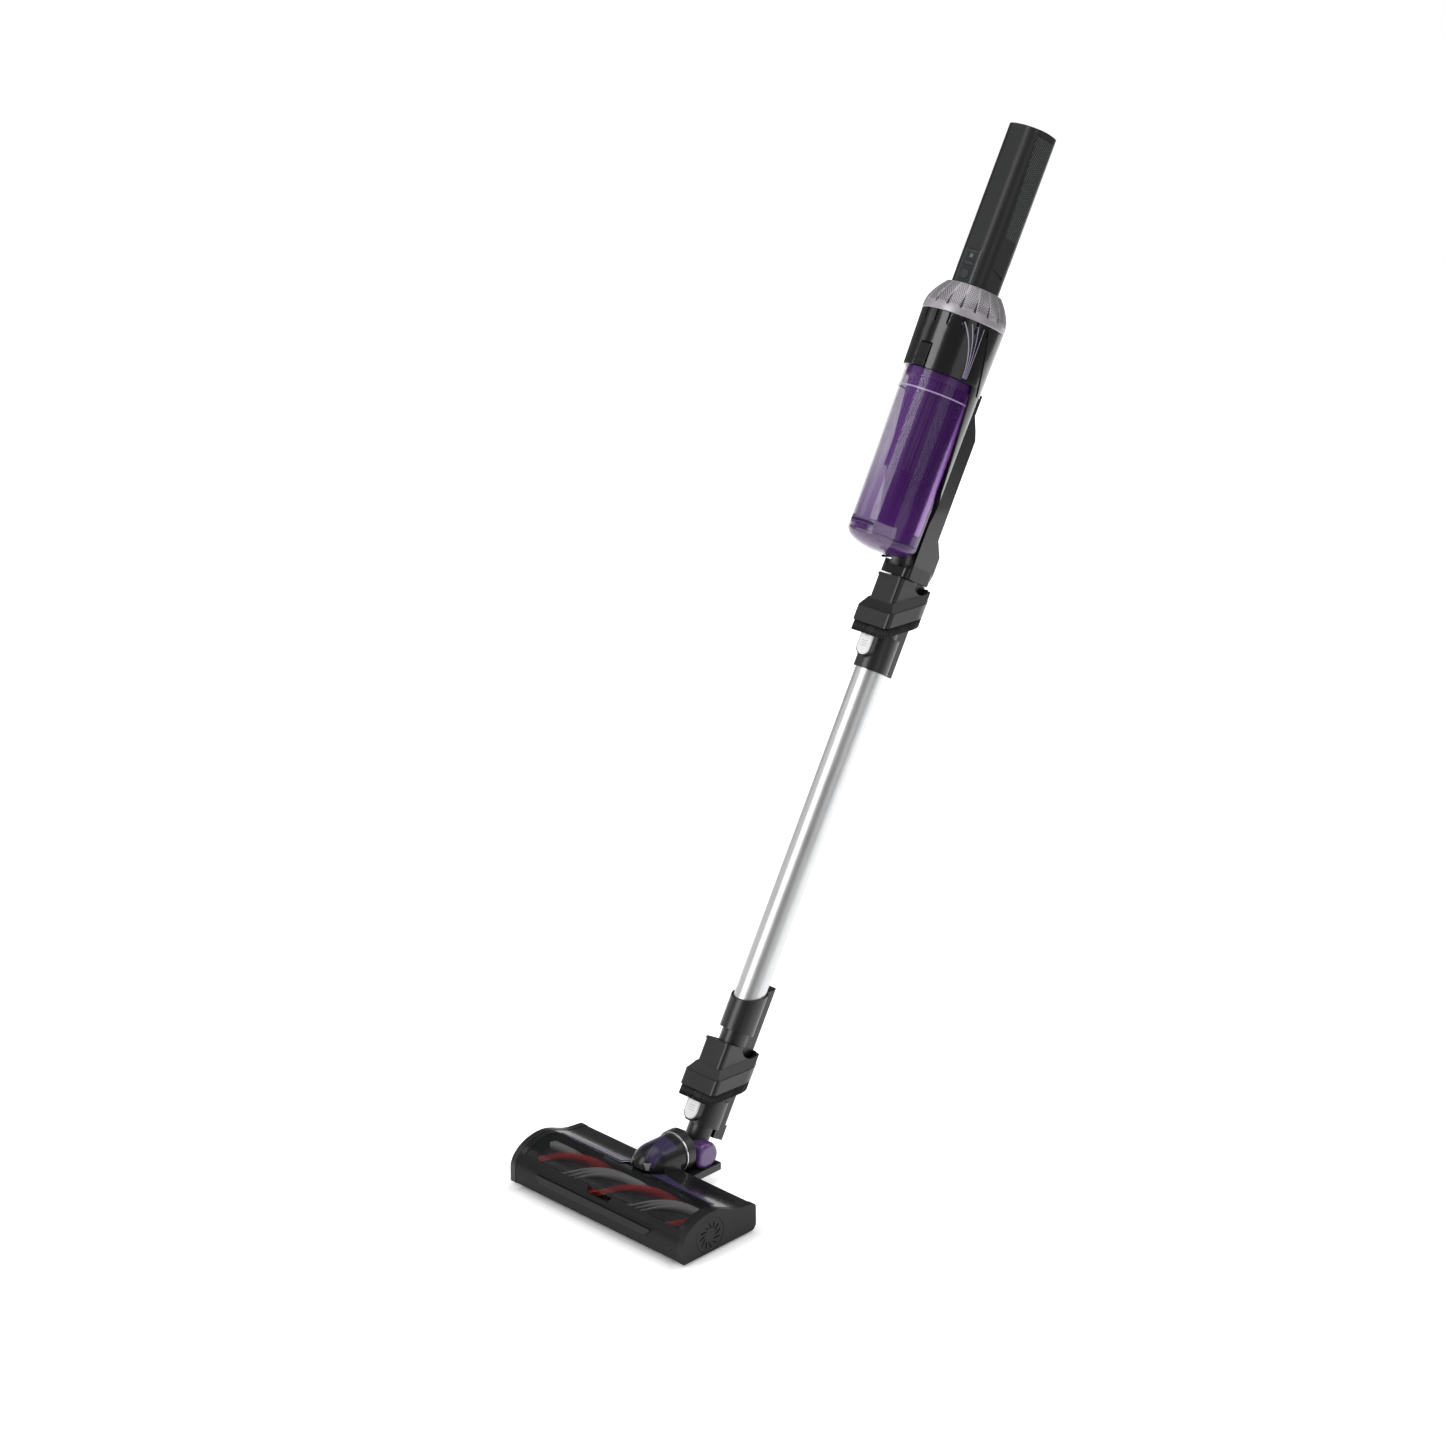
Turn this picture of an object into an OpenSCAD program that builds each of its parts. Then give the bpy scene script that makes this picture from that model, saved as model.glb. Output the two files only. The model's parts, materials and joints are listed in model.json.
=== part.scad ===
// Cordless stick vacuum cleaner: floor head, swivelling elbow, metal wand,
// two slide-on dusting brushes, and a hand unit with a see-through dust bin.
// Origin: centre of the floor head's sole, on the floor. -Y is the front.

/* [Overall] */
// Width of the floor head
head_w = 250; // [210:5:300]
// Depth of the floor head, front to back
head_d = 105; // [100:1:126]
// Floor to the top of the handle with the stick upright
total_l = 1140; // [1000:10:1370]
// Lean of the stick from upright at rest, in degrees
lean = 30; // [20:1:38]

/* [Floor head] */
// Height of the roller housing
head_h = 47; // [44:1:56]
// Height of the rear deck behind the roller housing
deck_h = 33; // [31:1:36]
// Height of the roller axis above the floor
roller_z = 22; // [20:0.5:24]
// Radius of the roller core under the bristles
core_r = 11; // [8:0.5:12]
// Radius of the roller over its bristle tips
tip_r = 20.5; // [17:0.5:21]
// Wall of the floor head's shells
head_wall = 2.2; // [1.6:0.1:2.6]
// Thickness of each end cap
cap_t = 7; // [5:0.5:9]
// Radius of the wheels under the sole
wheel_r = 7; // [5:0.5:8]

/* [Elbow] */
// Height of the elbow's hinge above the floor
pivot_z = 33; // [30:0.5:36]
// Radius of the hinge drum
drum_r = 15; // [13:0.5:15.5]
// Length of the hinge drum
drum_l = 48; // [40:1:52]
// Radius of the hinge pin
pin_r = 3; // [2:0.5:4]
// Outside radius of the neck dome
dome_r = 20.5; // [19:0.5:22]
// Height of the swivel's axis above the floor
swivel_z = 41; // [39:0.5:43]
// Outside radius of the swivel collar
collar_r = 22.5; // [22:0.5:25]

/* [Wand] */
// Outside radius of the wand tube
tube_r = 16; // [13:0.5:16.5]
// Wall of the wand tube
tube_wall = 1.2; // [0.8:0.1:2]
// Wall of the wand's end fittings
fit_wall = 2.5; // [2:0.1:3]
// Width of the contact rail along the back of the end fittings
rail_w = 18; // [14:1:20]
// Distance from the wand's axis to the back of the rail
rail_back = 30; // [27:0.5:31]
// Height of the stack from the bottom of the upper fitting to the dust bin
nozzle_h = 131; // [128:1:150]

/* [Dusting brushes] */
// Width of a brush collar
brush_w = 49; // [46:1:56]
// Distance from the wand's axis to the front of a brush collar
brush_front = 29; // [28:0.5:34]
// Height of the collar band
brush_band = 16; // [12:0.5:18]
// Slant of the collar and its bristles, in degrees
brush_slant = 27; // [18:1:30]
// Free length of the bristles
bristle_l = 11.5; // [8:0.5:13]
// How far a brush slides down to cover its fitting
brush_travel = 16; // [8:1:17]

/* [Hand unit] */
// Distance from the wand's axis forward to the hand unit's axis
unit_off = 57; // [56:0.5:62]
// Length of the handle above the filter ring
handle_l = 175; // [160:1:200]
// Width of the handle
handle_w = 42; // [41:0.5:48]
// Depth of the handle, front to back
handle_d = 47; // [44:0.5:54]
// Corner radius of the handle
handle_r = 14; // [10:0.5:17]
// Wall of the handle
handle_wall = 1.8; // [1.4:0.1:2]
// Height of the filter ring
ring_h = 36; // [32:0.5:42]
// Radius of the filter ring at its foot
ring_r = 44.6; // [43.5:0.1:48]
// Height of the motor housing
housing_h = 61; // [58:1:75]
// Height of the dust bin without its lid
bin_h = 175; // [150:5:215]
// Outside radius of the dust bin at its mouth
bin_r = 39.5; // [38:0.5:40.5]
// How much narrower the dust bin is at its lid
bin_taper = 2; // [1:0.5:3]
// Wall of the dust bin
bin_wall = 2; // [1.5:0.1:2.6]
// Depth of the domed lid below the bin
lid_h = 16; // [14:0.5:20]
// Radius of the mesh shroud in the bin
shroud_r = 25; // [20:0.5:28]
// Half width of the rear air duct
duct_hw = 15; // [13:0.5:16]
// Radius of one battery cell
cell_r = 9.2; // [9:0.1:9.3]
// Length of one battery cell
cell_l = 65; // [60:1:65]

/* [Fits] */
// Radial running clearance of shafts and pins
run_gap = 0.08; // [0.05:0.01:0.1]
// Gap between moving pieces
move_gap = 0.4; // [0.3:0.05:0.5]

/* [Hidden] */
$fn = 64;

// The roller axis and the hinge axis, from the head's centre
roller_y = -head_d / 2 + 39;
pivot_y = head_d / 2 + 35.5;
deck_back = head_d / 2;
shell_x = head_w / 2 - cap_t;
// The swivel's bearing face between the dome and its collar
swivel_y = pivot_y - 26;
// Heights along the stick, from the hinge axis
top_z = total_l - pivot_z;
ring_top = top_z - handle_l;
ring_z = ring_top - ring_h;
housing_z = ring_z - housing_h;
bin_z = housing_z - bin_h;
clamp_z = bin_z - nozzle_h;
// Foot fitting and lower collar, from the hinge axis
foot_z = 28;
foot_top = 131;
lower_brush_z = foot_z + 33;
lower_rim_z = foot_top + 32;
upper_brush_z = clamp_z + 44;
sleeve_h = 56;
// The spigot that the hand unit sits on
inlet_z = upper_brush_z + sleeve_h + 1.5;
block_top = bin_z - 15;
pipe_r = tube_r - 1.5;
// Plans of the brush sleeves follow the pipe and rail that they slide on
sleeve_wall = 1.6;
sleeve_w = 2 * (pipe_r + 0.9 + sleeve_wall);
sleeve_back = rail_back + 1.9 + sleeve_wall;
sleeve_front = brush_front - 5;
collar_back = sleeve_back + 2.2;
bin_low_r = bin_r - bin_taper;
boss_front = brush_front - 5.2;
hinge_y = -unit_off - bin_r - 0.5;
hinge_z = bin_z + 7;
housing_r = ring_r - 0.6;
bay_r = housing_r - 8;
// Round foot of the handle that the filter ring turns on
foot_r = 26;
big = 400;

// Sets its children on the leaning stick, whose own +Z runs up to the handle
module on_stick() {
    translate([0, pivot_y, pivot_z]) rotate([-lean, 0, 0]) children();
}

// Sets its children on the hand unit's axis
module on_unit(z) {
    on_stick() translate([0, -unit_off, z]) children();
}

// A bar of the given length centred on x, with its profile's y and z kept
module across(length) {
    translate([-length / 2, 0, 0]) rotate([90, 0, 90]) linear_extrude(length) children();
}

// A cylinder along x between two places
module rod_x(x0, x1, r) {
    translate([x0, 0, 0]) rotate([0, 90, 0]) cylinder(h = x1 - x0, r = r);
}

// A rectangle with round corners
module round_rect(w, d, r) {
    square([w - 2 * r, d], center = true);
    square([w, d - 2 * r], center = true);
    for (sx = [-1, 1], sy = [-1, 1])
        translate([sx * (w / 2 - r), sy * (d / 2 - r)]) circle(r = r);
}

// A flat front with round corners and a half-round back
module d_plan(w, front, back, r) {
    translate([0, back - w / 2]) circle(r = w / 2);
    translate([-w / 2, -front + r]) square([w, back - w / 2 + front - r]);
    translate([-w / 2 + r, -front]) square([w - 2 * r, r + 1]);
    for (s = [-1, 1]) translate([s * (w / 2 - r), -front + r]) circle(r = r);
}

// Points on an ellipse from angle a0 to a1
function arc_pts(c, a, b, a0, a1, n) =
    [for (i = [0:n]) let (t = a0 + (a1 - a0) * i / n) [c[0] + a * cos(t), c[1] + b * sin(t)]];

// Points on a cubic curve through four control points
function curve_pts(p0, p1, p2, p3, n) =
    [for (i = [1:n]) let (t = i / n, s = 1 - t)
        s * s * s * p0 + 3 * s * s * t * p1 + 3 * s * t * t * p2 + t * t * t * p3];

// Side outline of the floor head, moved inwards by d
function head_outline(d) =
    let (f = -head_d / 2 + d, b = deck_back - d, s = 3 + d, cy = roller_y + 1.5,
        crest = head_h - d, deck = deck_h - d)
    concat([[f + 2, s], [f, s + 2]],
        arc_pts([cy, 20], cy - f, crest - 20, 180, 90, 18),
        curve_pts([cy, crest], [cy + 18, crest], [cy + 28, deck + 3], [cy + 46, deck + 1.5], 12),
        arc_pts([b - 6, deck - 6], 6, 6, 85, 0, 6),
        arc_pts([b - 7, s + 7], 7, 7, 0, -90, 6));

module head_shell() {
    difference() {
        across(2 * shell_x) polygon(head_outline(0));
        across(2 * shell_x + 2) polygon(head_outline(head_wall));
    }
}

// Half-space above the seam between the tray and the cover
module above_seam() {
    translate([0, -head_d / 2, 31]) rotate([-8, 0, 0])
        translate([-big / 2, -big / 2, 0]) cube([big, big, big]);
}

window_front = -head_d / 2 + 8;
window_back = -head_d / 2 + 54.5;
window_hw = shell_x - 6;

module window_zone(grow) {
    translate([-window_hw - grow, window_front - grow, 28])
        cube([2 * (window_hw + grow), window_back - window_front + 2 * grow, 40]);
}

// Rib across the head between the roller chamber and the drive bay
module bay_wall() {
    intersection() {
        translate([-shell_x, roller_y + tip_r + 3, 3]) cube([2 * shell_x, 2, 29]);
        across(2 * shell_x) polygon(head_outline(0.5));
    }
}

mouth_hw = shell_x - 10.5;
wheel_x = head_w / 2 - 42;
wheel_y = roller_y + tip_r + 16;

module base_tray() color("#2b2c2c") {
    difference() {
        union() {
            difference() {
                head_shell();
                above_seam();
            }
            difference() {
                bay_wall();
                above_seam();
            }
            for (s = [-1, 1]) translate([s * (shell_x - 4), 0, 0]) difference() {
                intersection() {
                    translate([-2, -head_d / 2, 3]) cube([4, head_d / 2 + roller_y + tip_r + 3, 23]);
                    across(2 * big) polygon(head_outline(0.5));
                }
                translate([0, roller_y, roller_z]) rod_x(-5, 5, 9);
            }
        }
        // Suction mouth under the roller
        translate([-mouth_hw, roller_y - tip_r - 1.5, -1]) cube([2 * mouth_hw, 2 * tip_r + 3, 8]);
        // Wells of the two sole wheels
        for (s = [-1, 1]) translate([s * wheel_x - 7, wheel_y - wheel_r - 2, -1])
            cube([14, 2 * wheel_r + 4, 8]);
        // Duct way into the neck
        translate([-13, deck_back - 8, 12]) cube([26, 20, 12]);
        // Slot for the drive belt
        translate([pulley_x - 0.6, roller_y, roller_z - 10]) cube([5.2, bay_y - roller_y, 19.6]);
        // Screw holes
        for (p = screw_places) translate([p[0], p[1], 0]) cylinder(h = 6, r = 1.7);
    }
    // Axle posts beside each wheel
    for (s = [-1, 1], t = [-1, 1]) translate([s * wheel_x + t * 9.5 - 1.5, wheel_y - 4, 4]) difference() {
        cube([3, 8, 9]);
        translate([-1, 4, wheel_r - 4]) rod_x(0, 5, 1.6);
    }
}

screw_places = [for (s = [-1, 1], y = [deck_back - 14, -head_d / 2 + 6]) [s * (shell_x - 26), y]];

module head_screws() color("#8c8f92") {
    for (p = screw_places) translate([p[0], p[1], 1.6]) {
        difference() {
            cylinder(h = 1.4, r = 3);
            translate([0, 0, -0.1]) cylinder(h = 0.9, r = 1.2, $fn = 6);
        }
        cylinder(h = 7, r = 1.5);
    }
}

module top_cover() color("#141516") {
    difference() {
        intersection() {
            head_shell();
            above_seam();
        }
        window_zone(0);
        // Bed of the neck dome
        translate([0, -big / 2, swivel_z]) rotate([-90, 0, 0]) cylinder(h = big, r = dome_r - 2);
    }
}

module window() color("#4b5054", 0.4) {
    intersection() {
        difference() {
            across(2 * window_hw) polygon(head_outline(0.1));
            across(2 * window_hw + 2) polygon(head_outline(head_wall - 0.4));
        }
        above_seam();
        window_zone(-0.05);
    }
}

bumper_x = 80;

module front_bumper() color("#4a4c4d") {
    translate([0, -head_d / 2, 0]) {
        rotate([90, 0, 0]) linear_extrude(1.3)
            polygon([[-bumper_x, 17], [bumper_x - 8, 17], [bumper_x, 26], [-bumper_x - 8, 26]]);
    }
}

// Outline of the end caps, a little proud of the shells
module cap_plan() {
    polygon(head_outline(-0.4));
}

plug_r = 19.5;

module left_end_cap() color("#1c1d1e") {
    difference() {
        union() {
            translate([-head_w / 2, 0, 0]) rotate([90, 0, 90]) linear_extrude(cap_t) cap_plan();
            translate([-head_w / 2 + cap_t, roller_y, roller_z]) rod_x(-1, 3, 8.5);
        }
        translate([-head_w / 2 + 2, roller_y, roller_z]) rod_x(0, cap_t + 4, 5.5);
    }
}

module right_end_cap() color("#555757") {
    difference() {
        translate([shell_x, 0, 0]) rotate([90, 0, 90]) linear_extrude(cap_t) cap_plan();
        translate([shell_x, roller_y, roller_z]) rod_x(-1, cap_t + 1, plug_r - 2 + move_gap);
        translate([shell_x + cap_t - 2.6, roller_y, roller_z]) rod_x(0, 5, plug_r - 0.5 + move_gap);
    }
}

// Turning plug that frees the roller, with a ring of curved vents
module roller_plug() color("#5a5c5c") {
    translate([shell_x, roller_y, roller_z]) difference() {
        union() {
            rod_x(0.3, cap_t - 0.4, plug_r - 2);
            rod_x(cap_t - 2.3, cap_t - 0.2, plug_r - 0.5);
        }
        for (k = [0:11]) rotate([k * 30, 0, 0]) translate([cap_t - 1.3, 0, 11])
            rotate([28, 0, 0]) translate([0, -0.8, -4]) cube([4, 1.6, 8]);
        rod_x(-1, 3.5, 5.5);
    }
}

roller_hl = shell_x - 8;

module roller_core() color("#222324") {
    translate([0, roller_y, roller_z]) {
        difference() {
            rod_x(-roller_hl, roller_hl, core_r);
            for (k = [0:3]) rotate([k * 90 + 45, 0, 0])
                translate([-roller_hl - 1, core_r + 0.8, 0]) rod_x(0, 2 * roller_hl + 2, 2);
        }
        // Toothed drive end
        rod_x(-roller_hl - 5, -roller_hl, drive_r);
        rod_x(-shell_x - 1, shell_x + 2, 2.5);
    }
}

// One spiral strip set in the roller core, swept as rings of four corners
strip_turn = -395;
strip_steps = 44;
strip_faces = concat([[3, 2, 1, 0]],
    [for (i = [0:strip_steps - 1], k = [0:3]) let (a = 4 * i + k, b = 4 * i + (k + 1) % 4)
        each [[a, b, b + 4], [a, b + 4, a + 4]]],
    [[for (k = [0:3]) 4 * strip_steps + k]]);

function strip_pts(start, r0, r1, t) =
    [for (i = [0:strip_steps], c = [[r0, -t / 2], [r1, -t / 2], [r1, t / 2], [r0, t / 2]])
        let (x = (roller_hl - 3) * (2 * i / strip_steps - 1), w = start + strip_turn * i / strip_steps)
        [x, c[0] * cos(w) - c[1] * sin(w), c[0] * sin(w) + c[1] * cos(w)]];

module spiral(start, r0, r1, t) {
    translate([0, roller_y, roller_z]) for (k = [0, 180])
        polyhedron(strip_pts(start + k, r0, r1, t), strip_faces);
}

module red_bristles() color("#a5232c") {
    spiral(165, core_r + 0.3, tip_r, 4);
}

module felt_strips() color("#a6a9a8") {
    spiral(255, core_r + 0.3, tip_r - 1, 3);
}

module roller_bearings() color("#9a9da0") {
    for (x = [-shell_x - 1, shell_x - 1.2]) translate([x, roller_y, roller_z]) difference() {
        rod_x(0, 4, 5.4);
        rod_x(-1, 5, 2.5 + run_gap);
    }
}

bay_y = deck_back - 15;
motor_z = 17;
drive_r = 7;
motor_pulley_r = 4.5;
pulley_x = -roller_hl - 4.5;

module brush_motor() color("#7d8084") {
    translate([0, bay_y, motor_z]) difference() {
        union() {
            rod_x(-70, -28, 11);
            rod_x(-72, -70, 5);
        }
        rod_x(-80, -64, 1.5 + run_gap);
    }
}

module motor_pulley() color("#c9b06a") {
    translate([0, bay_y, motor_z]) {
        rod_x(pulley_x, pulley_x + 4, motor_pulley_r);
        rod_x(pulley_x + 4, -65, 1.5);
    }
}

// Flat belt round the roller's drive end and the motor pulley
belt_t = 1;

module drive_belt() color("#1a1a1a") {
    dy = bay_y - roller_y;
    dz = motor_z - roller_z;
    span = sqrt(dy * dy + dz * dz);
    translate([pulley_x, roller_y, roller_z]) rotate([atan2(dz, dy), 0, 0]) rotate([90, 0, 90])
        linear_extrude(4) difference() {
            belt_plan(span, drive_r + 0.1 + belt_t, motor_pulley_r + 0.1 + belt_t);
            belt_plan(span, drive_r + 0.1, motor_pulley_r + 0.1);
        }
}

// Two round ends of a belt joined by its straight runs
module belt_plan(span, r0, r1) {
    a = asin((r0 - r1) / span);
    polygon(concat(arc_pts([0, 0], r0, r0, 90 - a, 270 + a, 20),
        arc_pts([span, 0], r1, r1, a - 90, 90 - a, 16)));
}

module sole_wheel(s) {
    translate([s * wheel_x, wheel_y, wheel_r]) {
        difference() {
            rod_x(-5, 5, wheel_r);
            for (t = [-1, 1]) translate([t * 5, 0, 0]) rod_x(-1, 1, wheel_r - 2.5);
        }
        rod_x(-9.4, 9.4, 1.6 - run_gap);
    }
}

module left_sole_wheel() color("#303132") sole_wheel(-1);
module right_sole_wheel() color("#303132") sole_wheel(1);

dome_front = roller_y + 20;
nose_l = 26;

module dome_cover() color("#101112") {
    difference() {
        union() {
            translate([0, dome_front + nose_l, swivel_z]) rotate([-90, 0, 0])
                cylinder(h = swivel_y - dome_front - nose_l - 2.4, r = dome_r);
            translate([0, dome_front + nose_l, swivel_z]) rotate([90, 0, 0]) rotate_extrude()
                polygon(concat([[0, -1], [dome_r, -1]], arc_pts([0, 0], dome_r, nose_l, 0, 90, 16)));
            // Skirt down to the rear deck
            translate([-dome_r, dome_front + 20, deck_h - 4])
                cube([2 * dome_r, deck_back - dome_front - 22, swivel_z - deck_h + 4]);
        }
        // Airway
        translate([0, dome_front + nose_l - 2, swivel_z - 2]) rotate([-90, 0, 0]) cylinder(h = 200, r = 14);
        translate([0, swivel_y - 16, swivel_z]) rotate([-90, 0, 0]) cylinder(h = 200, r = dome_r - 2.5);
        lens_shape(0.05);
        // Fit over the top cover
        across(big) polygon(head_outline(0));
        translate([-big / 2, -big / 2, -big + deck_h - 6]) cube([big, big, big]);
    }
}

// Oval lens set in the dome's sloping nose
module dome_lens() color("#a4a7a8") {
    lens_shape(0);
}

module lens_shape(grow) {
    intersection() {
        translate([0, dome_front + nose_l, swivel_z]) rotate([90, 0, 0]) rotate_extrude()
            polygon(concat([[0, -1], [dome_r + 0.4, -1]],
                arc_pts([0, 0], dome_r + 0.4, nose_l + 0.4, 0, 90, 16)));
        translate([-13 - grow, dome_front - 5, swivel_z + 1.5 - grow]) cube([26 + 2 * grow, 17, 7 + 2 * grow]);
        translate([0, dome_front + 3.5 - grow, swivel_z + 5]) rotate([-90, 0, 0]) cylinder(h = 7 + 2 * grow, r = 40);
    }
}

// Two tapered strips that sweep out from the dome along the deck
module accent_strips() color("#54407a") {
    intersection() {
        difference() {
            across(2 * shell_x - 4) polygon(head_outline(-0.5));
            across(2 * shell_x) polygon(head_outline(0));
        }
        for (s = [0, 1]) mirror([s, 0, 0]) translate([0, window_back, 20]) linear_extrude(40)
            polygon([[dome_r + 1, 4], [window_hw - 4, 2], [window_hw - 2, 6], [60, 14], [dome_r + 1, 24]]);
    }
}

module swivel_ring() color("#b9bbbd") {
    translate([0, swivel_y - 2.3, swivel_z]) rotate([-90, 0, 0]) difference() {
        cylinder(h = 1.9, r = dome_r + 1.4);
        translate([0, 0, -1]) cylinder(h = 4, r = dome_r - 2.5);
    }
}

lug_x = 6;
lug_t = 4;
cup_hw = drum_l / 2 + 3;
cup_top = pivot_z - 11;
cup_back = pivot_y + 15;

// Collar that turns in the dome, with the lugs and the cradle of the hinge
module swivel_collar() color("#1b1c1d") {
    difference() {
        union() {
            translate([0, swivel_y, swivel_z]) rotate([-90, 0, 0]) cylinder(h = 9, r = collar_r);
            translate([0, swivel_y - 13, swivel_z]) rotate([-90, 0, 0])
                cylinder(h = 14, r = dome_r - 2.5 - move_gap);
            intersection() {
                translate([0, swivel_y, swivel_z]) rotate([-90, 0, 0])
                    cylinder(h = cup_back - swivel_y, r = swivel_z - 3);
                translate([-cup_hw, swivel_y, 0]) cube([2 * cup_hw, 100, cup_top]);
            }
        }
        translate([0, swivel_y - 20, swivel_z]) rotate([-90, 0, 0]) cylinder(h = 60, r = dome_r - 5.5);
        // Room for the drum, its neck and the fitting's foot as they tip back
        translate([0, pivot_y, pivot_z]) rod_x(-drum_l / 2 - 0.8, drum_l / 2 + 0.8, drum_r + 1);
        translate([-tube_r - 0.5, pivot_y + 9, 0]) cube([2 * tube_r + 1, 60, 60]);
        // Pocket of the rear roller
        translate([0, pivot_y - 7, 6]) rod_x(-11, 11, 7);
        translate([0, pivot_y - 7, 6]) rod_x(-14, 14, 1.6);
    }
    for (s = [-1, 1]) difference() {
        translate([s * (lug_x + lug_t / 2) - lug_t / 2, 0, 0]) intersection() {
            union() {
                translate([0, swivel_y + 6, pivot_z - 5]) cube([lug_t, pivot_y - swivel_y - 6, 10]);
                translate([0, pivot_y, pivot_z]) rod_x(0, lug_t, 5.5);
                translate([0, swivel_y + 1, pivot_z - 12]) cube([lug_t, 8, 22]);
            }
            translate([-1, swivel_y, 0]) cube([lug_t + 2, 80, 60]);
        }
        translate([0, pivot_y, pivot_z]) rod_x(-30, 30, pin_r + run_gap);
    }
}

module rear_roller() color("#3a3b3c") {
    translate([0, pivot_y - 7, 6]) {
        rod_x(-10.6, 10.6, 6);
        rod_x(-13.6, 13.6, 1.6 - run_gap);
    }
}

module hinge_pin() color("#b5b8ba") {
    on_stick() rod_x(-drum_l / 2 + 1, drum_l / 2 - 1, pin_r);
}

neck_r = 13;

module elbow_drum() color("#7d5596", 0.85) {
    on_stick() difference() {
        rotate([0, 90, 0]) rotate_extrude() intersection() {
            union() {
                square([2 * drum_r - 10, drum_l], center = true);
                square([2 * drum_r, drum_l - 10], center = true);
                for (s = [-1, 1]) translate([drum_r - 5, s * (drum_l / 2 - 5)]) circle(r = 5);
            }
            translate([0, -50]) square([50, 100]);
        }
        rod_x(-drum_l / 2 + 2.5, drum_l / 2 - 2.5, drum_r - 2.5);
        rod_x(-drum_l / 2 + 1, drum_l / 2 - 1, pin_r + 0.02);
        cylinder(h = 30, r = neck_r + 0.02);
        // Window that lets the lugs through over the whole tilt
        across(2 * (lug_x + lug_t) + 2) polygon(concat([[0, 0]],
            [for (a = [62:10:212]) [-30 * sin(a), 30 * cos(a)]]));
    }
}

// Pipe, button boss and contact rail, shared by the two end fittings
module fitting(z0, z1, body_l) {
    difference() {
        union() {
            translate([0, 0, z0]) cylinder(h = body_l, r = tube_r + fit_wall);
            translate([0, 0, z0]) cylinder(h = z1 - z0, r = pipe_r);
            translate([0, 0, z0 + 5]) linear_extrude(z1 - z0 - 5) rail_plan();
        }
        translate([0, 0, z0 - 1]) cylinder(h = z1 - z0 + 2, r = pipe_r - fit_wall);
    }
}

// Plan of the channel along the back that carries the contacts
module rail_plan() {
    intersection() {
        translate([0, rail_back - 12]) round_rect(rail_w, 24, 5);
        translate([-rail_w, pipe_r - fit_wall]) square([2 * rail_w, 2 * rail_back]);
    }
}

boss_w = 19;
button_w = 17;
button_travel = 1.5;
// Depth of the pocket that a release button sits in
pocket_d = 4 + button_travel;

// Round-footed boss that the white release button sits in
module boss(z0, h) {
    difference() {
        translate([0, -tube_r - 0.3, z0]) rotate([90, 0, 0]) linear_extrude(boss_front - tube_r - 0.3)
            tab_plan(boss_w, h);
        translate([0, -boss_front + pocket_d, z0 + 1]) rotate([90, 0, 0]) linear_extrude(10)
            tab_plan(button_w + 2 * move_gap, h);
    }
}

// A tab with a half-round foot at z = 0
module tab_plan(w, h) {
    translate([0, w / 2]) circle(r = w / 2);
    translate([-w / 2, w / 2]) square([w, h - w / 2]);
}

module release_button(z0) {
    on_stick() translate([0, -boss_front + pocket_d - button_travel - move_gap, z0 + 1 + move_gap])
        rotate([90, 0, 0]) {
            linear_extrude(4) tab_plan(button_w, 29);
            translate([0, 0, 3.9]) linear_extrude(1.1) translate([0, 0.8]) tab_plan(button_w - 1.6, 27.4);
        }
}

module foot_coupling() color("#151617") {
    on_stick() {
        difference() {
            fitting(foot_z, foot_top, 30);
            // Socket for the wand's spigot
            translate([0, 0, foot_top - 32]) cylinder(h = 40, r = pipe_r - 1.5);
        }
        boss(foot_z + 1, 34);
        difference() {
            translate([0, 0, drum_r - 4]) cylinder(h = foot_z - drum_r + 5, r = neck_r);
            translate([0, 0, drum_r - 5]) cylinder(h = foot_z, r = neck_r - 2);
        }
        // Hook at the foot of the rail
        difference() {
            translate([0, 0, foot_z - 10]) linear_extrude(16) intersection() {
                translate([0, rail_back - 11]) round_rect(rail_w + 1, 24, 3);
                translate([-20, neck_r + 1]) square([40, 40]);
            }
            translate([-20, neck_r, foot_z - 16]) rotate([-18, 0, 0]) translate([0, -10, -10])
                cube([40, 60, 16]);
        }
    }
}

module foot_button() color("#f2f2f2") release_button(foot_z + 1);
module wand_button() color("#f2f2f2") release_button(clamp_z + 11);

// Half-space above a plane that rises to the back at the given slant
module above_slant(y, z, slant) {
    translate([0, y, z]) rotate([slant, 0, 0]) translate([-big / 2, -big / 2, 0]) cube([big, big, big]);
}

module slanted_band(z0, h, slant) {
    translate([0, -brush_front, z0]) rotate([slant, 0, 0])
        translate([-big / 2, -big / 2, 0]) cube([big, big, h * cos(slant)]);
}

module collar_plan(inset) {
    d_plan(brush_w - 2 * inset, brush_front - inset, collar_back - inset, 5);
}

module sleeve_plan(inset) {
    d_plan(sleeve_w - 2 * inset, sleeve_front - inset, sleeve_back - inset, 5 - min(inset, 4));
}

band_rise = (brush_front + rail_back) * tan(brush_slant);

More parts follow.
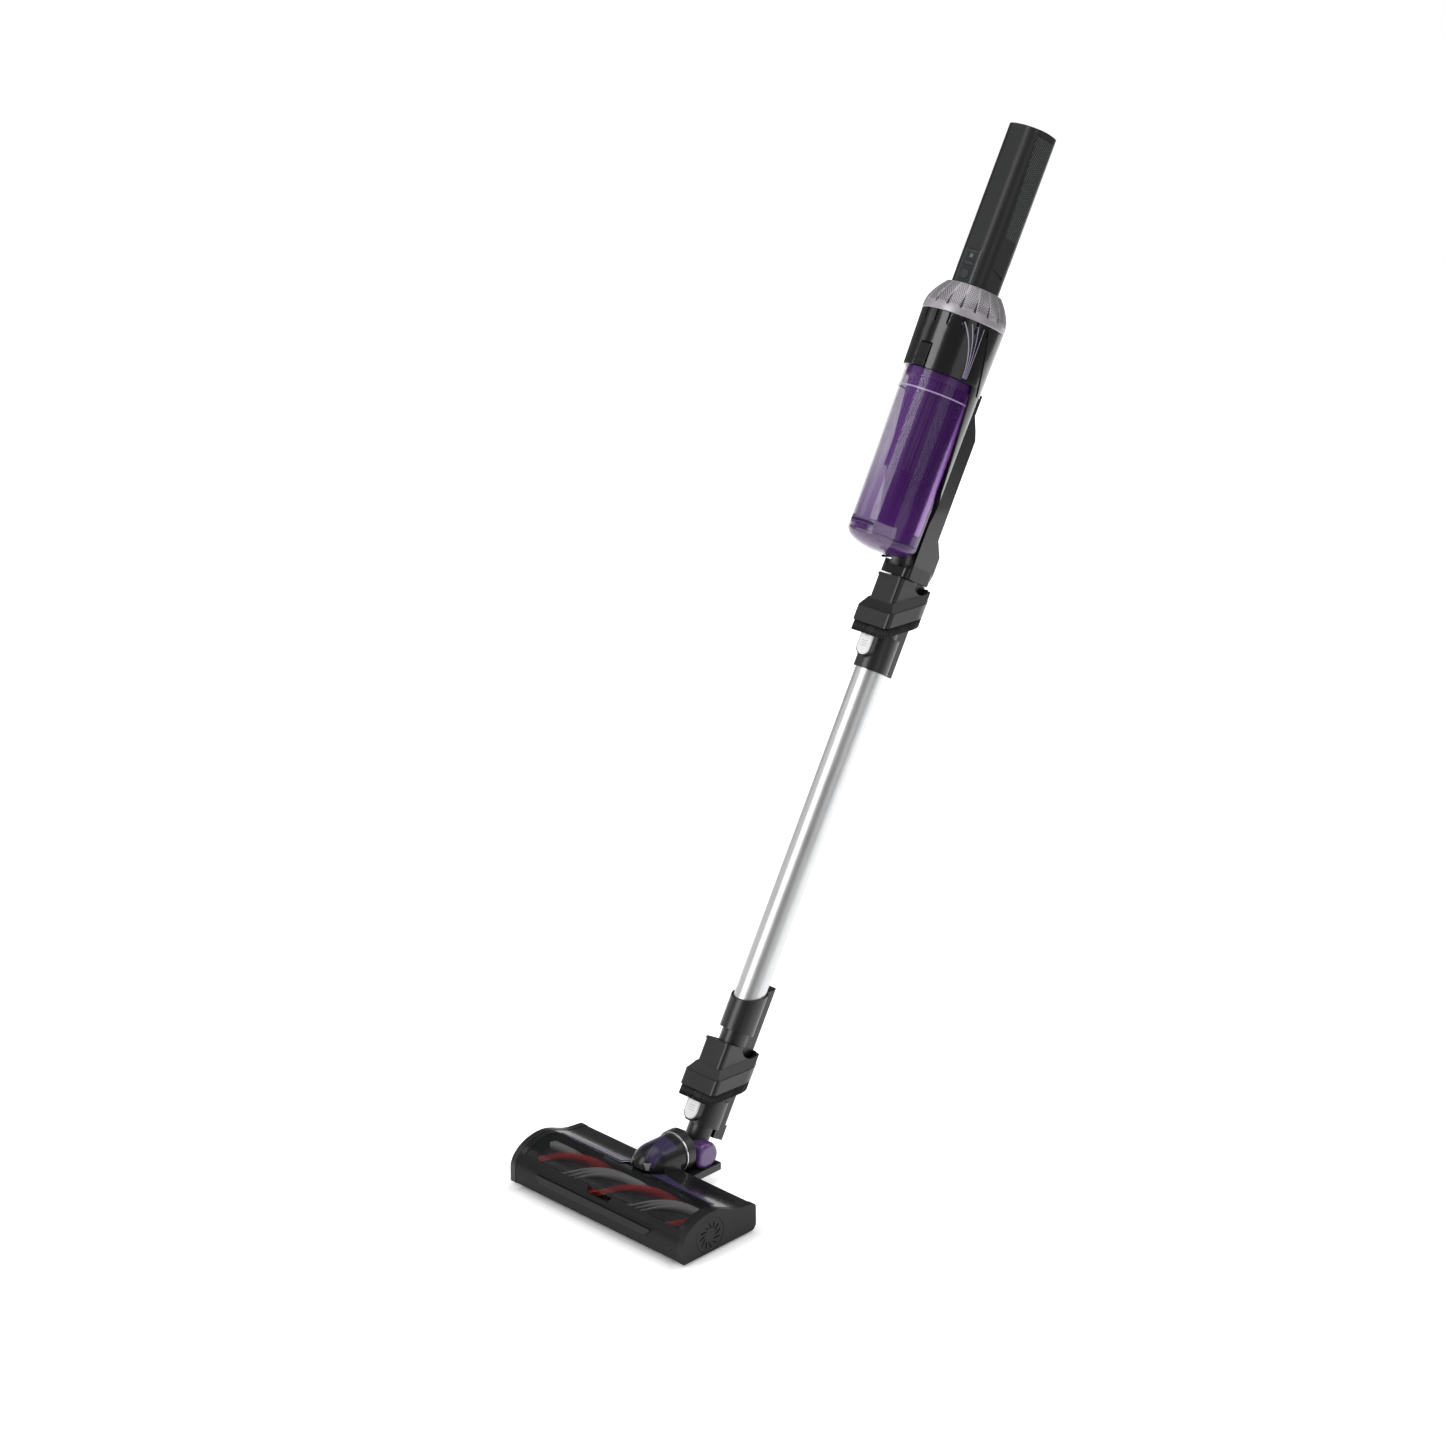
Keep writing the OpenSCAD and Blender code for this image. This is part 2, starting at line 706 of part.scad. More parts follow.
// Sliding dusting brush: a slanted collar, a shoulder, and a neck with a lip
module brush_sleeve(z0) {
    on_stick() translate([0, 0, z0]) difference() {
        union() {
            intersection() {
                translate([0, 0, -1]) linear_extrude(sleeve_h) collar_plan(0);
                slanted_band(0, brush_band, brush_slant);
            }
            // Shoulder
            difference() {
                intersection() {
                    linear_extrude(sleeve_h - 1) collar_plan(0.6);
                    // Narrows upwards from the band's slanted rim
                    translate([0, -brush_front, brush_band - 1]) rotate([brush_slant, 0, 0])
                        translate([0, 2 * brush_front + rail_back, 0]) rotate([90, 0, 0])
                            linear_extrude(3 * brush_front + rail_back) polygon([[-brush_w / 2 + 0.6, 0],
                                [brush_w / 2 - 0.6, 0], [sleeve_w / 2 + 0.3, 9], [-sleeve_w / 2 - 0.3, 9]]);
                    across(big) polygon([[-brush_front + 0.6, brush_band - 1], [-sleeve_front - 0.3, brush_band + 10],
                        [-sleeve_front - 0.3, sleeve_h], [big, sleeve_h], [big, brush_band - 1]]);
                }
                translate([0, 0, -1]) linear_extrude(sleeve_h + 9) sleeve_plan(sleeve_wall);
            }
            translate([0, 0, brush_band + 10]) linear_extrude(sleeve_h - brush_band - 10) sleeve_plan(0);
            translate([0, 0, sleeve_h - 3]) linear_extrude(2.5) sleeve_plan(-1);
        }
        difference() {
            translate([0, 0, -1]) linear_extrude(sleeve_h) collar_plan(2.5);
            above_slant(-brush_front, brush_band - 2, brush_slant);
        }
        translate([0, 0, -1]) linear_extrude(sleeve_h + 9) sleeve_plan(sleeve_wall);
        // Room for the button's boss when the brush is slid down
        translate([-boss_w / 2 - 1, -boss_front - 2, -1]) cube([boss_w + 2, 12, brush_travel + 4]);
        // Scoops in both sides of the lip
        translate([0, 12, sleeve_h + 6]) rod_x(-30, 30, 15);
    }
}

// Bristle skirt under a collar
module brush_skirt(z0) {
    on_stick() translate([0, 0, z0]) difference() {
        intersection() {
            translate([0, 0, -bristle_l - 5]) linear_extrude(sleeve_h + 20) collar_plan(0.7);
            slanted_band(-bristle_l, bristle_l - 0.02, brush_slant);
        }
        translate([0, 0, -bristle_l - 9]) linear_extrude(sleeve_h + 29) {
            intersection() {
                collar_plan(3.4);
                translate([-big / 2, -big]) square([big, big + 14]);
            }
            sleeve_plan(-0.05);
        }
    }
}

module lower_brush_sleeve() color("#18191a") brush_sleeve(lower_brush_z);
module upper_brush_sleeve() color("#18191a") brush_sleeve(upper_brush_z);
module lower_brush_bristles() color("#0c0c0c") brush_skirt(lower_brush_z);
module upper_brush_bristles() color("#0c0c0c") brush_skirt(upper_brush_z);

rim_slant = 25;

module lower_collar() color("#161718") {
    on_stick() {
        difference() {
            translate([0, 0, foot_top + 0.02]) linear_extrude(80) {
                circle(r = tube_r + fit_wall);
                rail_plan();
            }
            above_slant(-tube_r - fit_wall, lower_rim_z, rim_slant);
            translate([0, 0, foot_top + 8]) cylinder(h = 200, r = tube_r);
            translate([0, 0, foot_top - 1]) cylinder(h = 200, r = pipe_r - 3.3);
        }
        // Spigot in the foot fitting
        difference() {
            translate([0, 0, foot_top - 30]) cylinder(h = 30.02, r = pipe_r - 1.55);
            translate([0, 0, foot_top - 31]) cylinder(h = 80, r = pipe_r - 3.3);
        }
    }
}

tube_z0 = foot_top + 8.05;
tube_z1 = clamp_z + 30;

module wand_tube() color("#c9cbcd") {
    on_stick() translate([0, 0, tube_z0]) difference() {
        cylinder(h = tube_z1 - tube_z0, r = tube_r - 0.05);
        translate([0, 0, -1]) cylinder(h = tube_z1 - tube_z0 + 2, r = tube_r - tube_wall);
    }
}

// Two-core lead in a flat channel inside the wand
module wand_wiring() color("#3c3f42") {
    on_stick() for (s = [-1, 1])
        translate([s * 2.1, tube_r - tube_wall - 2.4, tube_z0]) cylinder(h = tube_z1 - tube_z0, r = 1.9);
}

module upper_clamp() color("#151617") {
    on_stick() {
        difference() {
            union() {
                translate([0, 0, clamp_z]) cylinder(h = 38, r = tube_r + fit_wall);
                translate([0, 0, clamp_z]) cylinder(h = inlet_z - clamp_z, r = pipe_r);
                translate([0, 0, clamp_z]) linear_extrude(inlet_z - clamp_z) rail_plan();
            }
            translate([0, 0, clamp_z - 1]) cylinder(h = 31.02, r = tube_r);
            translate([0, 0, clamp_z]) cylinder(h = 300, r = pipe_r - fit_wall);
        }
        boss(clamp_z + 11, 34);
    }
}

// Side outline of the duct cover's back, from the wand up to the housing
duct_foot = inlet_z + 2.5;
duct_steps = [25, 13, -2];
function duct_outline(d) = [
    [-30, duct_foot + d], [14, duct_foot - 2 + d], [duct_steps[0] - 2 - d, duct_foot + 4 + d],
    [duct_steps[0] - d, duct_foot + 12], [duct_steps[0] - d, bin_z + 4],
    [duct_steps[1] - d, bin_z + 20], [duct_steps[1] - d, housing_z - 45],
    [duct_steps[1] - 5 - d, housing_z - 36], [duct_steps[2] - d, housing_z - 22],
    [duct_steps[2] - d, housing_z], [-30, housing_z]];

bin_gap = 0.9;
// Trunnion that the bin tips out on, behind its foot
tip_y = bin_low_r - unit_off + 1.9;
tip_z = bin_z + 5;
tip_hw = 6;
tip_r0 = 1.2;
bin_tilt = 15;

// Turns its children about the trunnion
module tipped(angle) {
    translate([0, tip_y, tip_z]) rotate([angle, 0, 0]) translate([0, -tip_y, -tip_z]) children();
}

// Space that the bin and its lid need
module bin_space(grow) {
    on_unit_local(bin_z) cylinder(h = bin_h, r1 = bin_low_r + grow, r2 = bin_r + grow);
    on_unit_local(bin_z - lid_h - 2) cylinder(h = lid_h + 2.01, r = bin_low_r + grow);
}

module on_unit_local(z) {
    translate([0, -unit_off, z]) children();
}

module block_plan(grow) {
    translate([0, (rail_back - 30) / 2]) round_rect(38 + 2 * grow, rail_back + 14 + 2 * grow, 7);
}

// Side region that the cheeks fill, narrowing down to the wand
module cheek_zone() {
    across(big) polygon([[-unit_off, housing_z], [big, housing_z], [big, bin_z - 40],
        [-unit_off / 2, bin_z - lid_h]]);
}

// Side region at the back of the housing that the duct cover wraps
module wrap_zone() {
    across(big) polygon([[-unit_off - 10, ring_z], [big, ring_z], [big, housing_z - 8],
        [-unit_off + 14, housing_z - 8]]);
}

// Air duct behind the bin: socket for the wand, duct, and cheeks that hug the bin
module spine_duct() color("#121314") {
    on_stick() difference() {
        union() {
            // Block that takes the wand's spigot
            translate([0, 0, inlet_z]) linear_extrude(block_top - inlet_z) block_plan(0);
            // Inner duct
            across(2 * duct_hw - 5) polygon([[-30, block_top - 1], [duct_steps[0] - 2.6, block_top - 1],
                [duct_steps[0] - 2.6, bin_z + 3], [duct_steps[1] - 2.6, bin_z + 19],
                [duct_steps[1] - 2.6, housing_z - 46], [duct_steps[1] - 7.6, housing_z - 37],
                [duct_steps[2] - 2.6, housing_z - 23], [duct_steps[2] - 2.6, housing_z - 8.1],
                [-30, housing_z - 8.1]]);
            intersection() {
                on_unit_local(bin_z - lid_h) cylinder(h = bin_h + lid_h - 0.02, r = bin_r + 3);
                cheek_zone();
            }
        }
        bin_space(bin_gap);
        for (k = [1, 2]) tipped(k * bin_tilt / 2) bin_space(0.4);
        // Groove of the trunnion
        translate([0, tip_y, tip_z]) rod_x(-tip_hw - 0.4, tip_hw + 0.4, tip_r0 + run_gap);
        translate([-tip_hw - 0.4, tip_y - 3, tip_z - 1.9]) cube([2 * tip_hw + 0.8, 3, 3.8]);
        // Sweep of the lid's back rim as it opens
        translate([0, hinge_y, hinge_z]) rod_x(-big, big, bin_r + bin_low_r + 2.2);
        // Way in from the wand and up the duct
        translate([0, 0, inlet_z - 1]) cylinder(h = 12, r = pipe_r - fit_wall);
        translate([-duct_hw + 5, -10, inlet_z + 8]) cube([2 * duct_hw - 10, 7, housing_z - inlet_z - 38]);
        translate([-duct_hw + 5, -24, housing_z - 60]) cube([2 * duct_hw - 10, 21, 30]);
    }
}

// Grey cover over the duct that spreads out round the back of the motor housing
module duct_cover() color("#828485") {
    on_stick() {
        difference() {
            across(2 * duct_hw) polygon(duct_outline(0));
            across(2 * duct_hw - 4.9) polygon(duct_outline(2.5));
            // Open at the front, where the bin and the inner duct are
            translate([-30, -90, duct_foot - 5]) cube([60, 79, top_z]);
            translate([-duct_hw + 2.45, -30, duct_foot - 5])
                cube([2 * duct_hw - 4.9, 30 + duct_steps[0] - 2.5, block_top + 7 - duct_foot]);
            on_unit_local(bin_z - 40) cylinder(h = ring_z - bin_z + 40, r = bin_r + 3.1);
            // Clear of the inlet block
            translate([0, 0, inlet_z - 0.02]) linear_extrude(block_top - inlet_z + 0.07) block_plan(0.05);
        }
        difference() {
            intersection() {
                on_unit_local(housing_z - 8) cylinder(h = ring_z - housing_z + 7, r1 = bin_r + 4, r2 = ring_r);
                wrap_zone();
            }
            on_unit_local(housing_z) cylinder(h = housing_h + 1, r1 = bin_r + 3.1, r2 = housing_r + 0.1);
            on_unit_local(housing_z - 9) cylinder(h = 9.01, r = bin_r + 3.1);
        }
    }
}

module motor_housing() color("#0d0d0e") {
    on_unit(housing_z) difference() {
        cylinder(h = housing_h, r1 = bin_r + 3, r2 = housing_r);
        // Motor bay, open upwards to the filter ring
        translate([0, 0, 9]) cylinder(h = housing_h, r = bay_r);
        translate([0, 0, -1]) cylinder(h = 20, r = 20);
        // Pocket of the bin's release button
        translate([-7.5, -bin_r - 6, -1]) cube([15, 8.2, 27]);
        // Vent slots under the ring
        for (k = [0:17]) rotate([0, 0, k * 20 + 10]) translate([housing_r - 3, -1, housing_h - 12])
            cube([6, 2, 14]);
    }
}

module bin_button() color("#1d1e1f") {
    on_unit(housing_z) {
        translate([-7, -bin_r - 4.6, 0.6]) cube([14, 5, 24]);
        translate([-7, -bin_r - 5.4, 6]) cube([14, 1, 3]);
    }
}

module dust_bin() color("#7a4c9a", 0.5) {
    on_unit(bin_z) difference() {
        union() {
            cylinder(h = bin_h - 0.3, r1 = bin_low_r, r2 = bin_r);
            // Bead round the mouth
            translate([0, 0, bin_h - 22]) cylinder(h = 1.6, r = bin_r + 0.3);
            // Latch tab under the release button
            translate([-6, -bin_r - 2, bin_h - 7]) cube([12, 6, 6.7]);
            // Trunnion behind the foot
            translate([0, tip_y + unit_off, tip_z - bin_z]) rod_x(-tip_hw, tip_hw, tip_r0);
            translate([-tip_hw, bin_low_r - 1, tip_z - bin_z - 0.9])
                cube([2 * tip_hw, tip_y + unit_off - bin_low_r + 1, 1.8]);
            // Knuckles of the lid's hinge
            for (s = [-1, 1]) translate([s * 11 - 3, -bin_low_r - 3.5, 3.5]) cube([6, 6, 8]);
        }
        translate([0, 0, -1]) cylinder(h = bin_h + 2, r1 = bin_low_r - bin_wall, r2 = bin_r - bin_wall);
        translate([0, hinge_y + unit_off, hinge_z - bin_z]) rod_x(-20, 20, 1.5 + run_gap);
        // Air inlet from the duct
        translate([-duct_hw + 5, bin_r - 8, bin_h - 60]) cube([2 * duct_hw - 10, 12, 30]);
    }
}

module bin_lid() color("#6b3f8c", 0.5) {
    on_unit(bin_z) difference() {
        union() {
            rotate_extrude() polygon(concat([[0, -0.4]],
                arc_pts([0, -0.4], bin_low_r, lid_h - 0.4, -90, 0, 24)));
            // Hinge knuckle
            translate([-7.4, -bin_low_r - 3.5, -2.5]) cube([14.8, 3.1, 9.5]);
            translate([0, hinge_y + unit_off, hinge_z - bin_z]) rod_x(-7.4, 7.4, 2.3);
            translate([-7.4, -bin_low_r - 3.5, -2.5]) cube([14.8, 5.5, 2.1]);
        }
        rotate_extrude() polygon(concat([[0, 1]],
            arc_pts([0, -0.4], bin_low_r - bin_wall, lid_h - 0.4 - bin_wall, -90, 0, 24),
            [[bin_low_r - bin_wall, 1]]));
        translate([0, hinge_y + unit_off, hinge_z - bin_z]) rod_x(-20, 20, 1.5 + 0.01);
    }
}

module lid_hinge_pin() color("#2a2a2c") {
    on_stick() translate([0, hinge_y, hinge_z]) rod_x(-13.8, 13.8, 1.5);
}

module lid_seal() color("#222222") {
    on_unit(bin_z - 0.38) difference() {
        cylinder(h = 0.3, r = bin_low_r - 0.4);
        translate([0, 0, -1]) cylinder(h = 3, r = bin_low_r - bin_wall - 0.6);
    }
}

shroud_z = bin_h - 104;

// Perforated cage round the inner filter
module mesh_shroud() color("#8f8a94") {
    on_unit(bin_z + shroud_z) difference() {
        union() {
            cylinder(h = 96, r = shroud_r);
            translate([0, 0, 96]) cylinder(h = 7, r = bin_r - bin_wall - 1);
        }
        translate([0, 0, 2]) cylinder(h = 110, r = shroud_r - 1.5);
        for (k = [0:11]) rotate([0, 0, k * 30]) translate([shroud_r - 3, -4, 8]) cube([6, 8, 76]);
        translate([0, 0, -1]) cylinder(h = 5, r = 12);
    }
}

module cyclone_cone() color("#1b1a20") {
    on_unit(bin_z + 14) difference() {
        cylinder(h = shroud_z - 14, r1 = 11, r2 = shroud_r - 4);
        translate([0, 0, -1]) cylinder(h = shroud_z - 12, r1 = 8.6, r2 = shroud_r - 6.2);
    }
}

module foam_filter() color("#6a6c70") {
    on_unit(bin_z + shroud_z + 3) difference() {
        cylinder(h = 98, r = shroud_r - 2.6);
        translate([0, 0, -1]) cylinder(h = 90, r = shroud_r - 11);
    }
}

// Knurled ring that holds the exhaust filter
module filter_ring() color("#b6afb8") {
    on_unit(ring_z + 0.3) difference() {
        rotate_extrude() polygon(concat([[0, 0], [ring_r, 0], [ring_r - 0.2, 7]],
            arc_pts([ring_r - 16, 6], 15, ring_h - 7.5, 8, 84, 12), [[0, ring_h - 1]]));
        translate([0, 0, -1]) cylinder(h = 9, r = ring_r - 2.2);
        translate([0, 0, 7.9]) cylinder(h = 11, r1 = ring_r - 2.2, r2 = ring_r - 7);
        translate([0, 0, -1]) cylinder(h = ring_h + 2, r = foot_r + move_gap);
        // Teeth gaps round the foot and slots above them
        for (k = [0:17]) rotate([0, 0, k * 20]) {
            translate([ring_r, 0, 12]) rotate([0, -14, 0]) linear_extrude(12, center = true)
                polygon([[-4, 0], [2, 1.3], [2, -1.3]]);
        }
    }
}

module exhaust_foam() color("#7b7e80") {
    on_unit(ring_z + 0.6) difference() {
        cylinder(h = 9, r = ring_r - 8);
        translate([0, 0, -1]) cylinder(h = 12, r = foot_r + 0.02);
    }
}

module suction_motor() color("#6d7175") {
    on_unit(housing_z + 19) difference() {
        union() {
            cylinder(h = 30, r = 24);
            translate([0, 0, 30]) cylinder(h = 8, r = 13);
            for (k = [0:2]) rotate([0, 0, k * 120]) translate([22, -3, 6]) cube([bay_r - 22.2, 6, 12]);
        }
        translate([0, 0, -1]) cylinder(h = 36, r = 2.5 + run_gap);
    }
}

module impeller() color("#c2c4c6") {
    on_unit(housing_z + 9.5) {
        cylinder(h = 2, r = 23);
        difference() {
            cylinder(h = 8.5, r = 23);
            for (k = [0:8]) rotate([0, 0, k * 40]) translate([6, 0.8, 2]) linear_extrude(10)
                polygon([[0, 0], [22, 10], [22, -1.5], [18, -1.8]]);
            for (k = [0:8]) rotate([0, 0, k * 40]) translate([0, 0, 2]) linear_extrude(10)
                polygon([[12, 2], [30, 19], [30, 3]]);
        }
        cylinder(h = 40, r = 2.5);
    }
}

handle_z = ring_z + 4;

module handle_shell() color("#2c2d2e") {
    on_unit(0) difference() {
        union() {
            translate([0, 0, handle_z]) linear_extrude(top_z - 6 - handle_z) round_rect(handle_w, handle_d, handle_r);
            // Round foot, and spokes that stand in the motor housing
            translate([0, 0, ring_z - 3.5]) cylinder(h = ring_h + 3.8, r = foot_r);
            for (k = [0:3]) rotate([0, 0, k * 90 + 45]) translate([foot_r - 3, -3, ring_z - 3.5])
                cube([bay_r - foot_r + 2.9, 6, 3.5]);
        }
        translate([0, 0, handle_z + 8]) linear_extrude(top_z)
            round_rect(handle_w - 2 * handle_wall, handle_d - 2 * handle_wall, handle_r - handle_wall);
        translate([0, 0, ring_z - 4]) cylinder(h = 30, r = 14);
        // Finger slits at the foot of the handle
        for (s = [-1, 1]) translate([s * handle_w / 2, 0, ring_top + 20]) rotate([-12, 0, 0])
            cube([2, 19, 2.2], center = true);
        panel_cut(0);
        button_holes();
        grip_cut();
        translate([0, handle_d / 2 - 4, ring_top + 12]) rotate([-90, 0, 0]) cylinder(h = 10, r = 5.4);
    }
}

module handle_cap() color("#1c1d1e") {
    on_unit(top_z - 6) difference() {
        intersection() {
            union() {
                linear_extrude(6) round_rect(handle_w, handle_d, handle_r);
                translate([0, 0, -5]) linear_extrude(6)
                    round_rect(handle_w - 2 * handle_wall - 0.2, handle_d - 2 * handle_wall - 0.2,
                        handle_r - handle_wall);
            }
            translate([0, 0, -134]) sphere(r = 140, $fn = 128);
        }
        translate([0, 0, -6]) linear_extrude(8) round_rect(handle_w - 9, handle_d - 9, handle_r - 4);
    }
}

panel_h = 36;
panel_w = 23;

// Recess in the front of the handle for the control panel
module panel_cut(d) {
    translate([-panel_w / 2 + d, -handle_d / 2 - 1, ring_top + 0.5]) cube([panel_w - 2 * d, 2, panel_h - d]);
}

// Side beds for the grip inlays
grip_z0 = 54;
grip_l = 114;

module grip_cut() {
    for (s = [-1, 1]) translate([s * (handle_w / 2 + 0.1), 0, ring_top + grip_z0 + grip_l / 2])
        cube([1.8, handle_d - 2 * handle_r + 6, grip_l], center = true);
}

module grip_inlays() color("#232425") {
    on_unit(0) intersection() {
        grip_cut();
        linear_extrude(2 * top_z) round_rect(handle_w, handle_d, handle_r);
    }
}

power_z = ring_top + 9;
boost_z = ring_top + 21;

module control_panel() color("#4b4d4e") {
    on_unit(0) difference() {
        intersection() {
            panel_cut(0.15);
            linear_extrude(2 * top_z) round_rect(handle_w, handle_d + 1, handle_r);
        }
        button_holes();
    }
}

// Openings for the power and boost buttons
module button_holes() {
    translate([0, -handle_d / 2 - 5, power_z]) rotate([-90, 0, 0]) cylinder(h = 8, r = 5.3);
    translate([-5.3, -handle_d / 2 - 5, boost_z - 2.3]) cube([10.6, 8, 4.6]);
}

module power_button() color("#5b5d5e") {
    on_unit(power_z) translate([0, -handle_d / 2 - 0.9, 0]) rotate([-90, 0, 0]) cylinder(h = 1.8, r = 5);
}

module boost_button() color("#5b5d5e") {
    on_unit(boost_z) translate([-5, -handle_d / 2 - 0.9, -2]) cube([10, 1.8, 4]);
}

module battery_cells() color("#3c6aa0") {
    cell_top = top_z - 14 - cell_l;
    on_unit(0) for (s = [-1, 1], k = [0, 1])
        translate([0, s * (cell_r + 0.2), cell_top - k * (cell_l + 1)]) cylinder(h = cell_l, r = cell_r);
}

module circuit_board() color("#2f6b45") {
    on_unit(ring_top - 18) translate([-handle_w / 2 + 9, -handle_d / 2 + 5, 0]) {
        cube([handle_w - 18, 1.6, 34]);
        translate([4, 1.6, 6]) cube([6, 2, 8]);
        translate([12, 1.6, 18]) cube([8, 3, 6]);
    }
}

socket_r = 2.85;

// Charging socket in the back of the handle's foot
module charge_socket() color("#202122") {
    on_unit(ring_top + 12) translate([0, handle_d / 2 - 12.2, 0]) rotate([-90, 0, 0]) difference() {
        cylinder(h = 12, r = 5.3);
        translate([0, 0, 3]) cylinder(h = 10, r = socket_r);
    }
}

base_tray();
top_cover();
window();
front_bumper();
left_end_cap();
right_end_cap();
roller_plug();
roller_core();
red_bristles();
felt_strips();
roller_bearings();
brush_motor();
motor_pulley();
drive_belt();
left_sole_wheel();
right_sole_wheel();
dome_cover();
dome_lens();
accent_strips();
swivel_ring();
swivel_collar();
rear_roller();
hinge_pin();
elbow_drum();
head_screws();
foot_coupling();
foot_button();
lower_brush_sleeve();
lower_brush_bristles();
lower_collar();
wand_tube();
wand_wiring();
upper_clamp();
wand_button();
upper_brush_sleeve();
upper_brush_bristles();
motor_housing();
spine_duct();
duct_cover();
bin_button();
dust_bin();
bin_lid();
lid_hinge_pin();
lid_seal();
mesh_shroud();
cyclone_cone();
foam_filter();
filter_ring();
exhaust_foam();
suction_motor();
impeller();
handle_shell();
handle_cap();
grip_inlays();
control_panel();
power_button();
boost_button();
battery_cells();
circuit_board();
charge_socket();
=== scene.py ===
"""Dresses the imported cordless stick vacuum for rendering, in the part's own frame, in metres."""

import json
import logging
import math
from dataclasses import dataclass
from enum import Enum
from typing import Sequence

import bpy
import numpy as np
from mathutils import Matrix, Vector


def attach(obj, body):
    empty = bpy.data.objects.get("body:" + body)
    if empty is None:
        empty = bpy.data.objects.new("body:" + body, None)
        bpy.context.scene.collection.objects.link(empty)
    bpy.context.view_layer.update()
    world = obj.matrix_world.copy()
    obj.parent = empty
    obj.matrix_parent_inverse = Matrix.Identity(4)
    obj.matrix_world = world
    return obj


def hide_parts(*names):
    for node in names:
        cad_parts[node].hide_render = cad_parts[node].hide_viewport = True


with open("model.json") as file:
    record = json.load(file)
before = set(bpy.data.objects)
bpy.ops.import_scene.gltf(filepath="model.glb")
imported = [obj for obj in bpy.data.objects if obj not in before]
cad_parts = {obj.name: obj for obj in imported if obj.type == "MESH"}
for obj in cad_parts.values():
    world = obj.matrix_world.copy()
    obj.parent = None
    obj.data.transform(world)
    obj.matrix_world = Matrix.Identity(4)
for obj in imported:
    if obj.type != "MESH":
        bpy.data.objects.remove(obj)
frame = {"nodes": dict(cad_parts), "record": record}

LOG = logging.getLogger("stick_vacuum")
MM = 0.001
WELD_M = 0.000004
BEVEL_FROM_DEG = 34.0
BEVEL_SEGMENTS = 2
FACE_WEIGHT = 50


def joint(name: str) -> dict:
    """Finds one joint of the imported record.

    Args:
        name: The joint's name.

    Returns:
        The joint's entry.
    """
    return next(j for j in frame["record"]["behaviour"]["joints"] if j["name"] == name)


PIVOT = np.array(joint("stick_tilt")["pos_m"])
UP = np.array(joint("filter_ring_twist")["axis"]) / np.linalg.norm(joint("filter_ring_twist")["axis"])
SIDE = np.array([1.0, 0.0, 0.0])
REAR = np.cross(UP, SIDE)
UNIT_OFFSET = float(np.dot(np.array(joint("filter_ring_twist")["pos_m"]) - PIVOT, REAR)) / MM


def to_row(points: np.ndarray) -> np.ndarray:
    """Turns millimetres along the leaning stick (side, rear, up) into row-frame metres.

    Args:
        points: Array whose last axis holds side, rear and up.

    Returns:
        The same points in the row frame.
    """
    return PIVOT + MM * (points[..., :1] * SIDE + points[..., 1:2] * REAR + points[..., 2:3] * UP)


class Value:
    """A shader socket that does maths with Python's operators."""

    def __init__(self, graph: "Graph", socket: object) -> None:
        """Keeps the socket and its graph.

        Args:
            graph: The material's graph.
            socket: An output socket.
        """
        self.graph = graph
        self.socket = socket

    def __add__(self, other: object) -> "Value":
        """Adds. Args: other: value or number. Returns: the sum."""
        return self.graph.math("ADD", self, other)

    def __radd__(self, other: object) -> "Value":
        """Adds from the right. Args: other: number. Returns: the sum."""
        return self.graph.math("ADD", other, self)

    def __sub__(self, other: object) -> "Value":
        """Subtracts. Args: other: value or number. Returns: the difference."""
        return self.graph.math("SUBTRACT", self, other)

    def __rsub__(self, other: object) -> "Value":
        """Subtracts from other. Args: other: number. Returns: the difference."""
        return self.graph.math("SUBTRACT", other, self)

    def __mul__(self, other: object) -> "Value":
        """Multiplies. Args: other: value or number. Returns: the product."""
        return self.graph.math("MULTIPLY", self, other)

    def __rmul__(self, other: object) -> "Value":
        """Multiplies from the right. Args: other: number. Returns: the product."""
        return self.graph.math("MULTIPLY", other, self)

    def __truediv__(self, other: object) -> "Value":
        """Divides. Args: other: value or number. Returns: the quotient."""
        return self.graph.math("DIVIDE", self, other)

    def __lt__(self, other: object) -> "Value":
        """Tests below. Args: other: value or number. Returns: 1 where below, else 0."""
        return self.graph.math("LESS_THAN", self, other)

    def __gt__(self, other: object) -> "Value":
        """Tests above. Args: other: value or number. Returns: 1 where above, else 0."""
        return self.graph.math("GREATER_THAN", self, other)

    def __abs__(self) -> "Value":
        """Drops the sign. Returns: the absolute value."""
        return self.graph.math("ABSOLUTE", self)

    def wave(self, period: float) -> "Value":
        """Repeats the value as a triangle wave.

        Args:
            period: Length of one repeat.

        Returns:
            0 at whole repeats, rising to 1 midway.
        """
        return self.graph.math("PINGPONG", self, period / 2) * (2 / period)

    def between(self, low: float, high: float) -> "Value":
        """Marks a band of values.

        Args:
            low: Lower edge.
            high: Upper edge.

        Returns:
            1 inside the band, else 0.
        """
        return (self > low) * (self < high)


